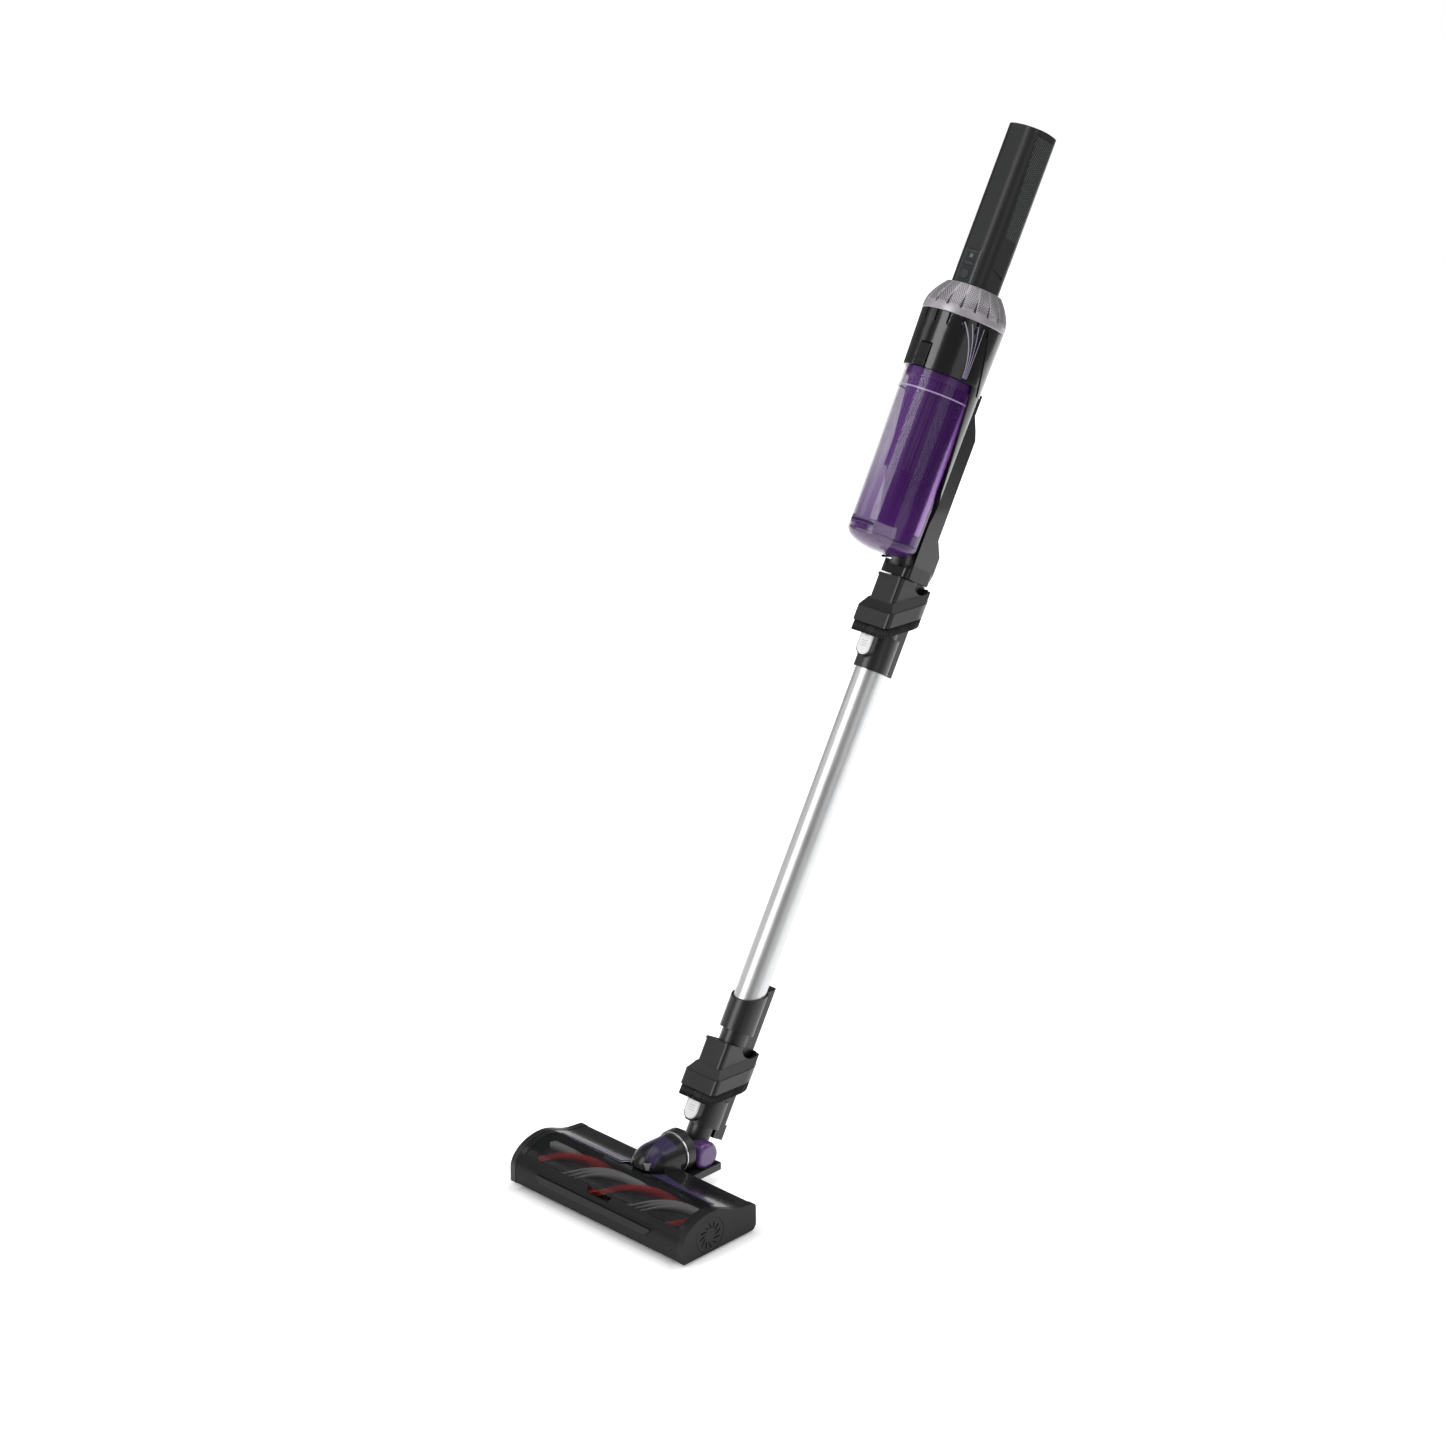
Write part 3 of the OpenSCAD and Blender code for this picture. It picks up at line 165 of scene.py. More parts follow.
class Graph:
    """Builds one node material."""

    def __init__(self, name: str) -> None:
        """Starts an empty material with a Principled shader.

        Args:
            name: Material name.
        """
        self.material = bpy.data.materials.new(name)
        self.material.use_nodes = True
        self.tree = self.material.node_tree
        self.tree.nodes.clear()
        self.output = self.tree.nodes.new("ShaderNodeOutputMaterial")
        self.shader = self.tree.nodes.new("ShaderNodeBsdfPrincipled")
        self.tree.links.new(self.shader.outputs["BSDF"], self.output.inputs["Surface"])
        self._local: list[Value] | None = None

    def plug(self, socket: object, value: object) -> None:
        """Sets or links one input.

        Args:
            socket: The input socket.
            value: A Value, a number, or a colour.
        """
        if isinstance(value, Value):
            self.tree.links.new(value.socket, socket)
        else:
            socket.default_value = value

    def node(self, kind: str, settings: dict | None = None, **inputs: object) -> object:
        """Adds a node.

        Args:
            kind: Node type.
            settings: Node properties.
            inputs: Socket values by name, with underscores for spaces.

        Returns:
            The node.
        """
        made = self.tree.nodes.new(kind)
        for key, value in (settings or {}).items():
            setattr(made, key, value)
        for key, value in inputs.items():
            self.plug(made.inputs[key.replace("_", " ")], value)
        return made

    def math(self, operation: str, *values: object) -> Value:
        """Adds a maths node.

        Args:
            operation: Blender's name of the operation.
            values: Its operands.

        Returns:
            The result.
        """
        made = self.tree.nodes.new("ShaderNodeMath")
        made.operation = operation
        for socket, value in zip(made.inputs, values):
            self.plug(socket, value)
        return Value(self, made.outputs[0])

    def place(self) -> Value:
        """Gives the point in the row frame.

        Returns:
            The object coordinates.
        """
        return Value(self, self.node("ShaderNodeTexCoord").outputs["Object"])

    def stick(self) -> list[Value]:
        """Gives the point along the leaning stick, in millimetres.

        Returns:
            Side, rear and up.
        """
        if self._local is None:
            shifted = self.node("ShaderNodeVectorMath", {"operation": "SUBTRACT"})
            self.plug(shifted.inputs[0], self.place())
            shifted.inputs[1].default_value = tuple(PIVOT)
            self._local = []
            for axis in (SIDE, REAR, UP):
                dot = self.node("ShaderNodeVectorMath", {"operation": "DOT_PRODUCT"})
                self.plug(dot.inputs[0], Value(self, shifted.outputs[0]))
                dot.inputs[1].default_value = tuple(axis / MM)
                self._local.append(Value(self, dot.outputs["Value"]))
        return self._local

    def row(self) -> list[Value]:
        """Gives the point in the row frame, in millimetres.

        Returns:
            X, Y and Z.
        """
        parts = self.node("ShaderNodeSeparateXYZ", Vector=self.place())
        return [Value(self, parts.outputs[k]) * (1 / MM) for k in range(3)]

    def noise(self, scale: float, detail: float = 3.0, stretch: Sequence[float] = (1, 1, 1)) -> Value:
        """Adds smooth noise.

        Args:
            scale: Repeats per metre.
            detail: Octaves.
            stretch: Scale along each row axis.

        Returns:
            Noise from 0 to 1.
        """
        mapped = self.node("ShaderNodeMapping", Vector=self.place(), Scale=tuple(stretch))
        at = Value(self, mapped.outputs[0])
        made = self.node("ShaderNodeTexNoise", Vector=at, Scale=scale, Detail=detail)
        return Value(self, made.outputs["Fac"])

    def blend(self, factor: object, low: object, high: object) -> Value:
        """Mixes two colours.

        Args:
            factor: 0 for low, 1 for high.
            low: Colour or Value.
            high: Colour or Value.

        Returns:
            The mixed colour.
        """
        made = self.tree.nodes.new("ShaderNodeMix")
        made.data_type = "RGBA"
        self.plug(made.inputs["Factor"], factor)
        self.plug(made.inputs["A"], low if isinstance(low, Value) else (*low, 1.0))
        self.plug(made.inputs["B"], high if isinstance(high, Value) else (*high, 1.0))
        return Value(self, made.outputs["Result"])

    def finish(self, inputs: dict, height: Value, depth: float) -> bpy.types.Material:
        """Connects the shader.

        Args:
            inputs: The shader's inputs by name, fixed or linked.
            height: Bump, from 0 to 1.
            depth: Height of the bump in metres.

        Returns:
            The finished material.
        """
        for key, value in inputs.items():
            self.plug(self.shader.inputs[key], value)
        bump = self.node("ShaderNodeBump", Height=height, Distance=depth, Strength=1.0)
        self.plug(self.shader.inputs["Normal"], Value(self, bump.outputs[0]))
        return self.material


Colour = tuple[float, float, float]


class Pattern(Enum):
    """Surface patterns that a finish can carry."""

    PLAIN = "plain"
    GRIP = "grip"
    RIBBED = "ribbed"
    HATCH = "hatch"
    SWOOSH = "swoosh"
    BRUSHED = "brushed"
    MESH = "mesh"
    KNURL = "knurl"
    PANEL = "panel"
    BUTTON = "button"
    NECK = "neck"
    BIN = "bin"
    FOAM = "foam"
    FLOOR = "floor"


@dataclass(frozen=True)
class Finish:
    """How one surface looks."""

    name: str
    colour: Colour
    roughness: float = 0.4
    metallic: float = 0.0
    coat: float = 0.0
    alpha: float = 1.0
    grain: float = 1400.0
    grain_depth: float = 0.00002
    wear: float = 0.06
    accent: Colour = (0.5, 0.5, 0.5)
    pattern: Pattern = Pattern.PLAIN
    specular: float = 0.5

    def material(self) -> bpy.types.Material:
        """Makes or reuses the node material.

        Returns:
            The material.
        """
        return bpy.data.materials.get(self.name) or Painter(self).paint()


class Painter:
    """Builds the material of one finish: a grained base, then the pattern's own method.

    Heights and widths are millimetres along the leaning stick, save where a method asks for the row frame.
    """

    LEAST_ROUGHNESS = 0.03
    COAT_ROUGHNESS = 0.04
    PLASTIC_IOR = 1.46
    RING_FOOT = 903.0
    RING_TOOTH = 14.66

    def __init__(self, finish: Finish) -> None:
        """Lays the base that every finish shares.

        Args:
            finish: The finish to build.
        """
        self.finish = finish
        self.graph = Graph(finish.name)
        cloud = self.graph.noise(26.0, 4.0)
        self.fine = self.graph.noise(finish.grain, 2.0)
        smear = self.graph.noise(90.0, 5.0)
        shade = cloud * 0.7 + smear * 0.3
        wear = finish.wear
        lighter = tuple(min(1.0, c * (1 + wear * 1.6) + wear * 0.02) for c in finish.colour)
        darker = tuple(c * (1 - wear) for c in finish.colour)
        self.colour = self.graph.blend(shade, darker, lighter)
        uneven = (shade - 0.5) * (0.3 * finish.roughness)
        self.rough = finish.roughness + uneven + (self.fine - 0.5) * 0.04
        self.alpha: Value | float = finish.alpha
        self.emission: Value | None = None
        self.height = self.fine
        self.depth = finish.grain_depth
        self.x, self.y, self.z = self.graph.stick()

    def paint(self) -> bpy.types.Material:
        """Runs the method that has the pattern's name, then connects the shader.

        Returns:
            The material.
        """
        finish = self.finish
        getattr(self, finish.pattern.value)()
        if finish.alpha < 1.0:
            self.graph.material.surface_render_method = "BLENDED"
        inputs = {
            "Base Color": self.colour,
            "Roughness": self.graph.math("MAXIMUM", self.rough, self.LEAST_ROUGHNESS),
            "Metallic": finish.metallic,
            "Specular IOR Level": finish.specular,
            "IOR": self.PLASTIC_IOR,
            "Coat Weight": finish.coat,
            "Coat Roughness": self.COAT_ROUGHNESS,
            "Alpha": self.alpha,
        }
        if self.emission is not None:
            inputs.update({"Emission Color": self.emission, "Emission Strength": 1.0})
        return self.graph.finish(inputs, self.height, self.depth)

    def tint(self, mark: Value, strength: float) -> None:
        """Colours a mark with the finish's accent.

        Args:
            mark: 1 on the mark, else 0.
            strength: How far the accent covers the base.
        """
        self.colour = self.graph.blend(mark * strength, self.colour, self.finish.accent)

    def emboss(self, mark: Value, depth: float) -> None:
        """Raises a mark above the grain.

        Args:
            mark: 1 on the mark, else 0.
            depth: Height in metres.
        """
        self.height = mark * 0.8 + self.fine * 0.2
        self.depth = depth

    def either(self, first: Value, *others: Value) -> Value:
        """Joins marks.

        Args:
            first: A mark.
            others: More marks.

        Returns:
            The strongest of them at each point.
        """
        for other in others:
            first = self.graph.math("MAXIMUM", first, other)
        return first

    def clamp(self, value: Value, high: float) -> Value:
        """Keeps a value between 0 and a limit.

        Args:
            value: Any value.
            high: The limit.

        Returns:
            The clamped value.
        """
        return self.graph.math("MINIMUM", self.graph.math("MAXIMUM", value, 0.0), high)

    def around(self, radius: float) -> Value:
        """Measures the way round the hand unit's axis.

        Args:
            radius: Radius at which it is measured.

        Returns:
            Length of the arc.
        """
        return self.graph.math("ARCTAN2", self.x, self.y - UNIT_OFFSET) * radius

    def plain(self) -> None:
        """Adds nothing to the base."""

    def grip(self) -> None:
        """Cuts slanted dashes round the back of the handle."""
        radius, foot, top, slant, reach = 21.0, 990.0, 1098.0, 0.06, 20.0
        turn = self.graph.math("ARCTAN2", abs(self.x), UNIT_OFFSET - self.y) * radius
        dash = ((self.z + turn * 0.5).wave(2.4) > 0.45) * ((turn - self.z * 0.22).wave(2.6) > 0.5)
        behind = (turn - (1080.0 - self.z) * slant) > reach
        dash = dash * behind * self.z.between(foot, top)
        self.emboss(dash, 0.00012)
        self.tint(dash, 0.7)

    def ribbed(self) -> None:
        """Cuts level ribs low on the front of the floor head, in the row frame."""
        foot, top, front = 5.5, 15.5, -49.0
        _, row_y, row_z = self.graph.row()
        rib = row_z.wave(1.3) * row_z.between(foot, top) * (row_y < front)
        self.emboss(rib, 0.00025)
        self.tint(rib, 0.35)

    def hatch(self) -> None:
        """Rules lines that slant outward from the middle of the head, in the row frame."""
        slant, pitch = 0.55, 1.7
        row_x, row_y, _ = self.graph.row()
        line = (abs(row_x) * slant - row_y).wave(pitch) > 0.62
        self.emboss(line, 0.0001)
        self.tint(line, 0.8)

    def swoosh(self) -> None:
        """Draws four thin lines that part as they rise on the motor housing."""
        foot, top, bare = 838.0, 892.0, 12.0
        rise = self.graph.math("MAXIMUM", (self.z - foot) / 60.0, 0.0)
        bend = self.graph.math("POWER", rise, 2.0)
        lines = [abs(self.y + 74.0 - 1.5 * k + bend * (19.7 - 6.0 * k)) < half
                 for k, half in enumerate((0.55, 0.45, 0.4, 0.35))]
        self.tint(self.either(*lines) * self.z.between(foot, top) * (abs(self.x) > bare), 0.85)

    def brushed(self) -> None:
        """Draws fine streaks along the tube."""
        streak = self.graph.noise(2600.0, 3.0, (1.0, 0.03, 0.03))
        self.height, self.depth = streak, 0.000012
        self.rough = self.rough + (streak - 0.5) * 0.16

    def mesh(self) -> None:
        """Etches the shroud's crossed rows of holes."""
        radius, pitch = 25.0, 2.0
        turn = self.around(radius)
        hole = ((turn + self.z).wave(pitch) + (turn - self.z).wave(pitch)) > 1.35
        self.tint(hole, 0.75)
        self.height, self.depth = 1.0 - hole, 0.0003

    def knurl(self) -> None:
        """Etches the filter ring's dots and darkens its slots with painted shade."""
        radius, pitch, foot, top = 42.0, 2.9, 906.0, 930.5
        turn = self.around(radius)
        diamond = (turn + self.z).wave(pitch) + (turn - self.z).wave(pitch)
        zone = (turn.wave(self.RING_TOOTH) < 0.8) * self.z.between(foot, top)
        dot = (diamond > 1.12) * zone
        narrowing = 0.84 + (self.z - self.RING_FOOT) * 0.008
        # Painted shade: the slot wedges are coloured dark as if shadowed inside.
        slot_shade = (turn.wave(self.RING_TOOTH) > narrowing) * self.z.between(903.5, 919.0)
        self.tint(self.either(dot * 0.85, slot_shade), 1.0)
        self.height, self.depth = 1.0 - dot, 0.00012

    def panel(self) -> None:
        """Marks the control panel with a square, a dash and a row of dots."""
        front = UNIT_OFFSET - 20.0
        square = (abs(self.x) < 2.0) * self.z.between(959.0, 963.0)
        dash = (abs(self.x) < 3.6) * self.z.between(952.2, 953.8)
        dots = (self.x.wave(2.4) > 0.5) * (abs(self.x) < 6.0) * self.z.between(965.2, 965.9)
        self.tint(self.either(square, dash, dots) * (self.y < front), 0.5)

    def button(self) -> None:
        """Marks both white buttons with the same bar and row of lines."""
        foot, apart, middle = 28.0, 511.0, 300.0
        low = self.z - foot - apart * (self.z > middle)
        bar = low.between(22.0, 24.5) * (abs(self.x) < 2.6)
        lines = low.between(11.0, 19.0) * (low.wave(2.6) > 0.68) * (abs(self.x) < 4.2)
        self.tint(self.either(bar, lines), 0.5)

    def neck(self) -> None:
        """Rules slanted lines on one side of the neck's cover, in the row frame."""
        front, back, shoulder, side = 14.0, 50.0, 44.0, 16.0
        row_x, row_y, row_z = self.graph.row()
        line = (row_x * 0.8 + row_y).wave(1.6) > 0.66
        beside = (abs(row_x) + (row_y - front) * 0.25) > 6.0
        zone = row_y.between(front, back) * (row_z > shoulder) * beside
        self.tint(line * zone * (row_x < side), 0.8)

    def bin(self) -> None:
        """Shades the clear bin: dark ribs, a pale band, a painted reflection along the right-hand edge, a
        painted highlight round the front, and more opacity towards the foot.
        """
        violet, reflection_lilac, pale = (0.22, 0.1, 0.36), (0.4, 0.17, 0.62), (0.6, 0.5, 0.75)
        foot_top, most = 745.0, 0.14
        angle = self.graph.math("ARCTAN2", self.x, 0.0 - (self.y - UNIT_OFFSET))
        ribs = (angle.wave(0.113) > 0.78) * angle.between(0.62, 1.52) * self.z.between(698.0, 828.0)
        band = self.z.between(813.2, 814.8)
        # Painted reflection: a brighter lilac strip down the right side of the bin, made more opaque as well.
        edge = angle.between(1.6, 1.86) * self.z.between(672.0, 826.0)
        # Painted highlight: a lighter violet zone round the front of the bin, which also makes the wall more
        # opaque there.
        painted_highlight = self.graph.math("MAXIMUM", 1.0 - abs(angle - 0.02) * 2.2, 0.0)
        self.colour = self.graph.blend(painted_highlight * 0.5, self.colour, violet)
        self.tint(ribs, 0.7)
        # Lays the painted reflection's lilac over the right-hand strip.
        self.colour = self.graph.blend(edge * 0.9, self.colour, reflection_lilac)
        self.colour = self.graph.blend(band * 0.7, self.colour, pale)
        foot = self.clamp((foot_top - self.z) * 0.002, most)
        # The opacity also carries the painted highlight and the painted reflection.
        opacity = self.finish.alpha + foot + ribs * 0.3 + band * 0.35 + edge * 0.3 + painted_highlight * 0.12
        self.alpha = self.graph.math("MINIMUM", opacity, 1.0)

    def foam(self) -> None:
        """Roughens open-cell foam."""
        self.height, self.depth = self.graph.noise(900.0, 6.0), 0.0006

    def floor(self) -> None:
        """Lights the floor evenly, brighter far off, with a painted contact shadow where the glow fades out
        under the head, in the row frame.
        """
        far, half_width, half_depth, centre, fade = 1500.0, 112.0, 44.0, 12.0, 75.0
        dim, bright = (0.66, 0.66, 0.66), (1.05, 1.05, 1.05)
        row_x, row_y, _ = self.graph.row()
        away = self.graph.math("SQRT", row_x * row_x + row_y * row_y) / far
        # Painted contact shadow: the glow drops to black over the head's footprint and comes back over the
        # fade distance.
        aside = self.either(abs(row_x) - half_width, abs(row_y + centre) - half_depth)
        outside_painted_shadow = self.graph.math("SQRT", self.clamp(aside / fade, 1.0))
        lit = self.graph.blend(self.graph.math("MINIMUM", away, 1.0), dim, bright)
        self.emission = self.graph.blend(outside_painted_shadow, (0.0, 0.0, 0.0), lit)


BLACK = (0.008, 0.008, 0.009)
GLOSS_BLACK = Finish("gloss black", BLACK, 0.26, coat=0.15, grain_depth=0.000004, specular=0.4)
HOUSING = Finish("housing gloss", BLACK, 0.2, coat=0.25, accent=(0.4, 0.36, 0.5), pattern=Pattern.SWOOSH,
                 grain_depth=0.000003, specular=0.4)
SATIN_BLACK = Finish("satin black", (0.009, 0.009, 0.01), 0.36, grain_depth=0.000008, specular=0.6)
HANDLE = Finish("handle", (0.008, 0.0085, 0.009), 0.4, accent=(0.12, 0.126, 0.132), pattern=Pattern.GRIP,
                grain_depth=0.000008, specular=0.5)
PANEL = Finish("panel", (0.014, 0.015, 0.016), 0.3, accent=(0.22, 0.23, 0.24), pattern=Pattern.PANEL)
CHARCOAL = Finish("charcoal", (0.008, 0.0082, 0.0082), 0.4, accent=(0.03, 0.031, 0.031),
                  pattern=Pattern.RIBBED, specular=0.16)
CHARCOAL_LIGHT = Finish("bumper charcoal", (0.011, 0.0115, 0.0115), 0.34, specular=0.2)
CAP_GREY = Finish("cap grey", (0.012, 0.0125, 0.0125), 0.42, specular=0.2)
KEY_GREY = Finish("key grey", (0.03, 0.032, 0.034), 0.35, specular=0.4)
SMOKE = Finish("smoked clear", (0.03, 0.032, 0.034), 0.14, alpha=0.2, coat=0.2, grain_depth=0.0000001)
RED = Finish("red bristle", (0.45, 0.012, 0.022), 0.5, wear=0.35)
FELT = Finish("felt", (0.26, 0.265, 0.26), 0.9, grain=2600.0, grain_depth=0.0003)
STEEL = Finish("steel", (0.62, 0.63, 0.64), 0.25, metallic=1.0)
COIL = Finish("motor can", (0.3, 0.31, 0.32), 0.35, metallic=1.0)
BRASS = Finish("brass", (0.72, 0.52, 0.24), 0.3, metallic=1.0)
RUBBER = Finish("rubber", (0.012, 0.012, 0.012), 0.75, grain_depth=0.00008)
WHEEL = Finish("wheel rubber", (0.03, 0.03, 0.031), 0.65, grain_depth=0.00008)
VIOLET = Finish("violet trim", (0.022, 0.015, 0.055), 0.34, metallic=0.2, accent=(0.09, 0.062, 0.19),
                pattern=Pattern.HATCH)
NECK = Finish("neck gloss", BLACK, 0.34, coat=0.1, accent=(0.11, 0.075, 0.24), pattern=Pattern.NECK,
              specular=0.3)
SILVER = Finish("silver trim", (0.6, 0.6, 0.62), 0.22, metallic=0.7)
LENS = Finish("lens grey", (0.2, 0.205, 0.21), 0.14, coat=0.6)
DRUM = Finish("drum purple", (0.12, 0.05, 0.2), 0.16, alpha=0.9, coat=0.6)
BIN = Finish("bin purple", (0.085, 0.014, 0.165), 0.1, alpha=0.34, coat=0.3, accent=(0.012, 0.003, 0.03),
             pattern=Pattern.BIN, grain_depth=0.0000005, specular=0.4)
LID = Finish("lid purple", (0.07, 0.012, 0.13), 0.1, alpha=0.5, coat=0.3, grain_depth=0.0000005, specular=0.4)
WHITE = Finish("white plastic", (0.8, 0.8, 0.8), 0.3, coat=0.3, accent=(0.25, 0.25, 0.27),
               pattern=Pattern.BUTTON)
TUBE = Finish("satin tube", (0.6, 0.605, 0.61), 0.4, metallic=0.95, pattern=Pattern.BRUSHED, wear=0.03)
BRISTLE = Finish("black bristle", (0.005, 0.005, 0.006), 0.55, wear=0.3)
COVER = Finish("cover black", (0.014, 0.0145, 0.015), 0.2, coat=0.35, grain_depth=0.000008, specular=0.4)
# The ring's accent darkens the etched dots and is also the painted shade in the slots.
RING = Finish("silver lavender", (0.36, 0.34, 0.365), 0.36, metallic=0.3, coat=0.1,
              accent=(0.045, 0.04, 0.05), pattern=Pattern.KNURL)
MESH = Finish("etched mesh", (0.1, 0.08, 0.13), 0.4, metallic=0.4, accent=(0.006, 0.004, 0.01),
              pattern=Pattern.MESH)
FOAM = Finish("foam", (0.12, 0.12, 0.125), 0.95, pattern=Pattern.FOAM)
CELL = Finish("cell sleeve", (0.05, 0.14, 0.36), 0.3)
BOARD = Finish("circuit board", (0.02, 0.12, 0.05), 0.4)
LEAD = Finish("lead", (0.09, 0.1, 0.11), 0.5)
FLOOR = Finish("floor", (0.93, 0.93, 0.93), 0.6, wear=0.005, grain_depth=0.0, specular=0.2,
               pattern=Pattern.FLOOR)


def crease_group(angle_deg: float = 40.0) -> bpy.types.NodeTree:
    """Makes or reuses a modifier that shades smooth, save across steep edges.

    Args:
        angle_deg: Edges sharper than this stay crisp.

    Returns:
        The geometry node group.
    """
    known = bpy.data.node_groups.get("crease")
    if known:
        return known
    group = bpy.data.node_groups.new("crease", "GeometryNodeTree")
    group.interface.new_socket("Geometry", in_out="INPUT", socket_type="NodeSocketGeometry")
    group.interface.new_socket("Geometry", in_out="OUTPUT", socket_type="NodeSocketGeometry")
    start, end = group.nodes.new("NodeGroupInput"), group.nodes.new("NodeGroupOutput")
    angle = group.nodes.new("GeometryNodeInputMeshEdgeAngle")
    steep = group.nodes.new("FunctionNodeCompare")
    steep.inputs["B"].default_value = math.radians(angle_deg)
    shade = group.nodes.new("GeometryNodeSetMeshNormal")
    shade.mode = "SHARPNESS"
    shade.inputs["Remove Custom"].default_value = True
    shade.inputs["Face Sharpness"].default_value = False
    group.links.new(start.outputs[0], shade.inputs["Mesh"])
    group.links.new(angle.outputs["Unsigned Angle"], steep.inputs["A"])
    group.links.new(steep.outputs["Result"], shade.inputs["Edge Sharpness"])
    group.links.new(shade.outputs[0], end.inputs[0])
    return group


def dress(node: str, finish: Finish, bevel_mm: float = 0.35) -> bpy.types.Object:
    """Gives a CAD node its material and soft edges.

    Args:
        node: Node name.
        finish: Its finish.
        bevel_mm: Edge rounding, 0 for none.

    Returns:
        The node's object.
    """
    obj = frame["nodes"][node]
    obj.data.materials.clear()
    obj.data.materials.append(finish.material())
    if bevel_mm:
        weld = obj.modifiers.new("weld", "WELD")
        weld.merge_threshold = WELD_M
        edge = obj.modifiers.new("edges", "BEVEL")
        edge.width = bevel_mm * MM
        edge.segments = BEVEL_SEGMENTS
        edge.limit_method = "ANGLE"
        edge.angle_limit = math.radians(BEVEL_FROM_DEG)
        edge.use_clamp_overlap = True
        obj.modifiers.new("crease", "NODES").node_group = crease_group()
        soft = obj.modifiers.new("soft", "WEIGHTED_NORMAL")
        soft.weight = FACE_WEIGHT
        soft.keep_sharp = True
    return obj


def surface(name: str, finish: Finish, points: np.ndarray, faces: np.ndarray, body: str) -> bpy.types.Object:
    """Makes a mesh object from vertices and quads or triangles.

    Args:
        name: Object name.
        finish: Its finish.
        points: Vertices in metres, in the row frame.
        faces: Vertex indices, one row per face.
        body: The body it rides on.

    Returns:
        The object.
    """
    mesh = bpy.data.meshes.new(name)
    mesh.from_pydata(points.reshape(-1, 3).tolist(), [], faces.tolist())
    mesh.validate()
    mesh.polygons.foreach_set("use_smooth", np.ones(len(mesh.polygons), bool))
    mesh.materials.append(finish.material())
    obj = bpy.data.objects.new(name, mesh)
    bpy.context.scene.collection.objects.link(obj)
    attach(obj, body)
    return obj


def ring_faces(rows: int, cols: int, close_rows: bool) -> np.ndarray:
    """Quads of a grid whose columns wrap round.

    Each face joins a vertex, its neighbour round the ring, and the same two in the next row.

    Args:
        rows: Number of rings.
        cols: Vertices per ring.
        close_rows: Whether the last ring joins the first.

    Returns:
        Array of faces.
    """
    r = np.arange(rows if close_rows else rows - 1)[:, None]
    c = np.arange(cols)[None, :]
    n = (r + 1) % rows
    d = (c + 1) % cols
    return np.stack([r * cols + c, r * cols + d, n * cols + d, n * cols + c], -1).reshape(-1, 4)


def hairs(roots: np.ndarray, tips: np.ndarray, radius: float,
          taper: float = 0.35) -> tuple[np.ndarray, np.ndarray]:
    """Thin tapered rods with triangular sections.

    Each rod is three corners round its root and three, drawn in by the taper, round its tip.

    Args:
        roots: Start points.
        tips: End points.
        radius: Root radius in metres.
        taper: Tip radius over root radius.

    Returns:
        Vertices and triangle faces.
    """
    way = tips - roots
    way = way / np.linalg.norm(way, axis=1, keepdims=True)
    other = np.where(np.abs(way[:, :1]) < 0.8, [[1.0, 0.0, 0.0]], [[0.0, 1.0, 0.0]])
    u = np.cross(way, other)
    u = u / np.linalg.norm(u, axis=1, keepdims=True)
    v = np.cross(way, u)
    angle = np.arange(3) * 2 * math.pi / 3
    spread = u[:, None] * np.cos(angle)[None, :, None] + v[:, None] * np.sin(angle)[None, :, None]
    points = np.concatenate([roots[:, None] + radius * spread, tips[:, None] + radius * taper * spread], 1)
    k = np.arange(3)
    n = (k + 1) % 3
    ends = [[2, 1, 0], [3, 4, 5]]
    rod = np.concatenate([np.stack([k, n, n + 3], 1), np.stack([k, n + 3, k + 3], 1), ends])
    faces = (np.arange(len(roots)) * 6)[:, None, None] + rod[None]
    return points.reshape(-1, 3), faces.reshape(-1, 3)


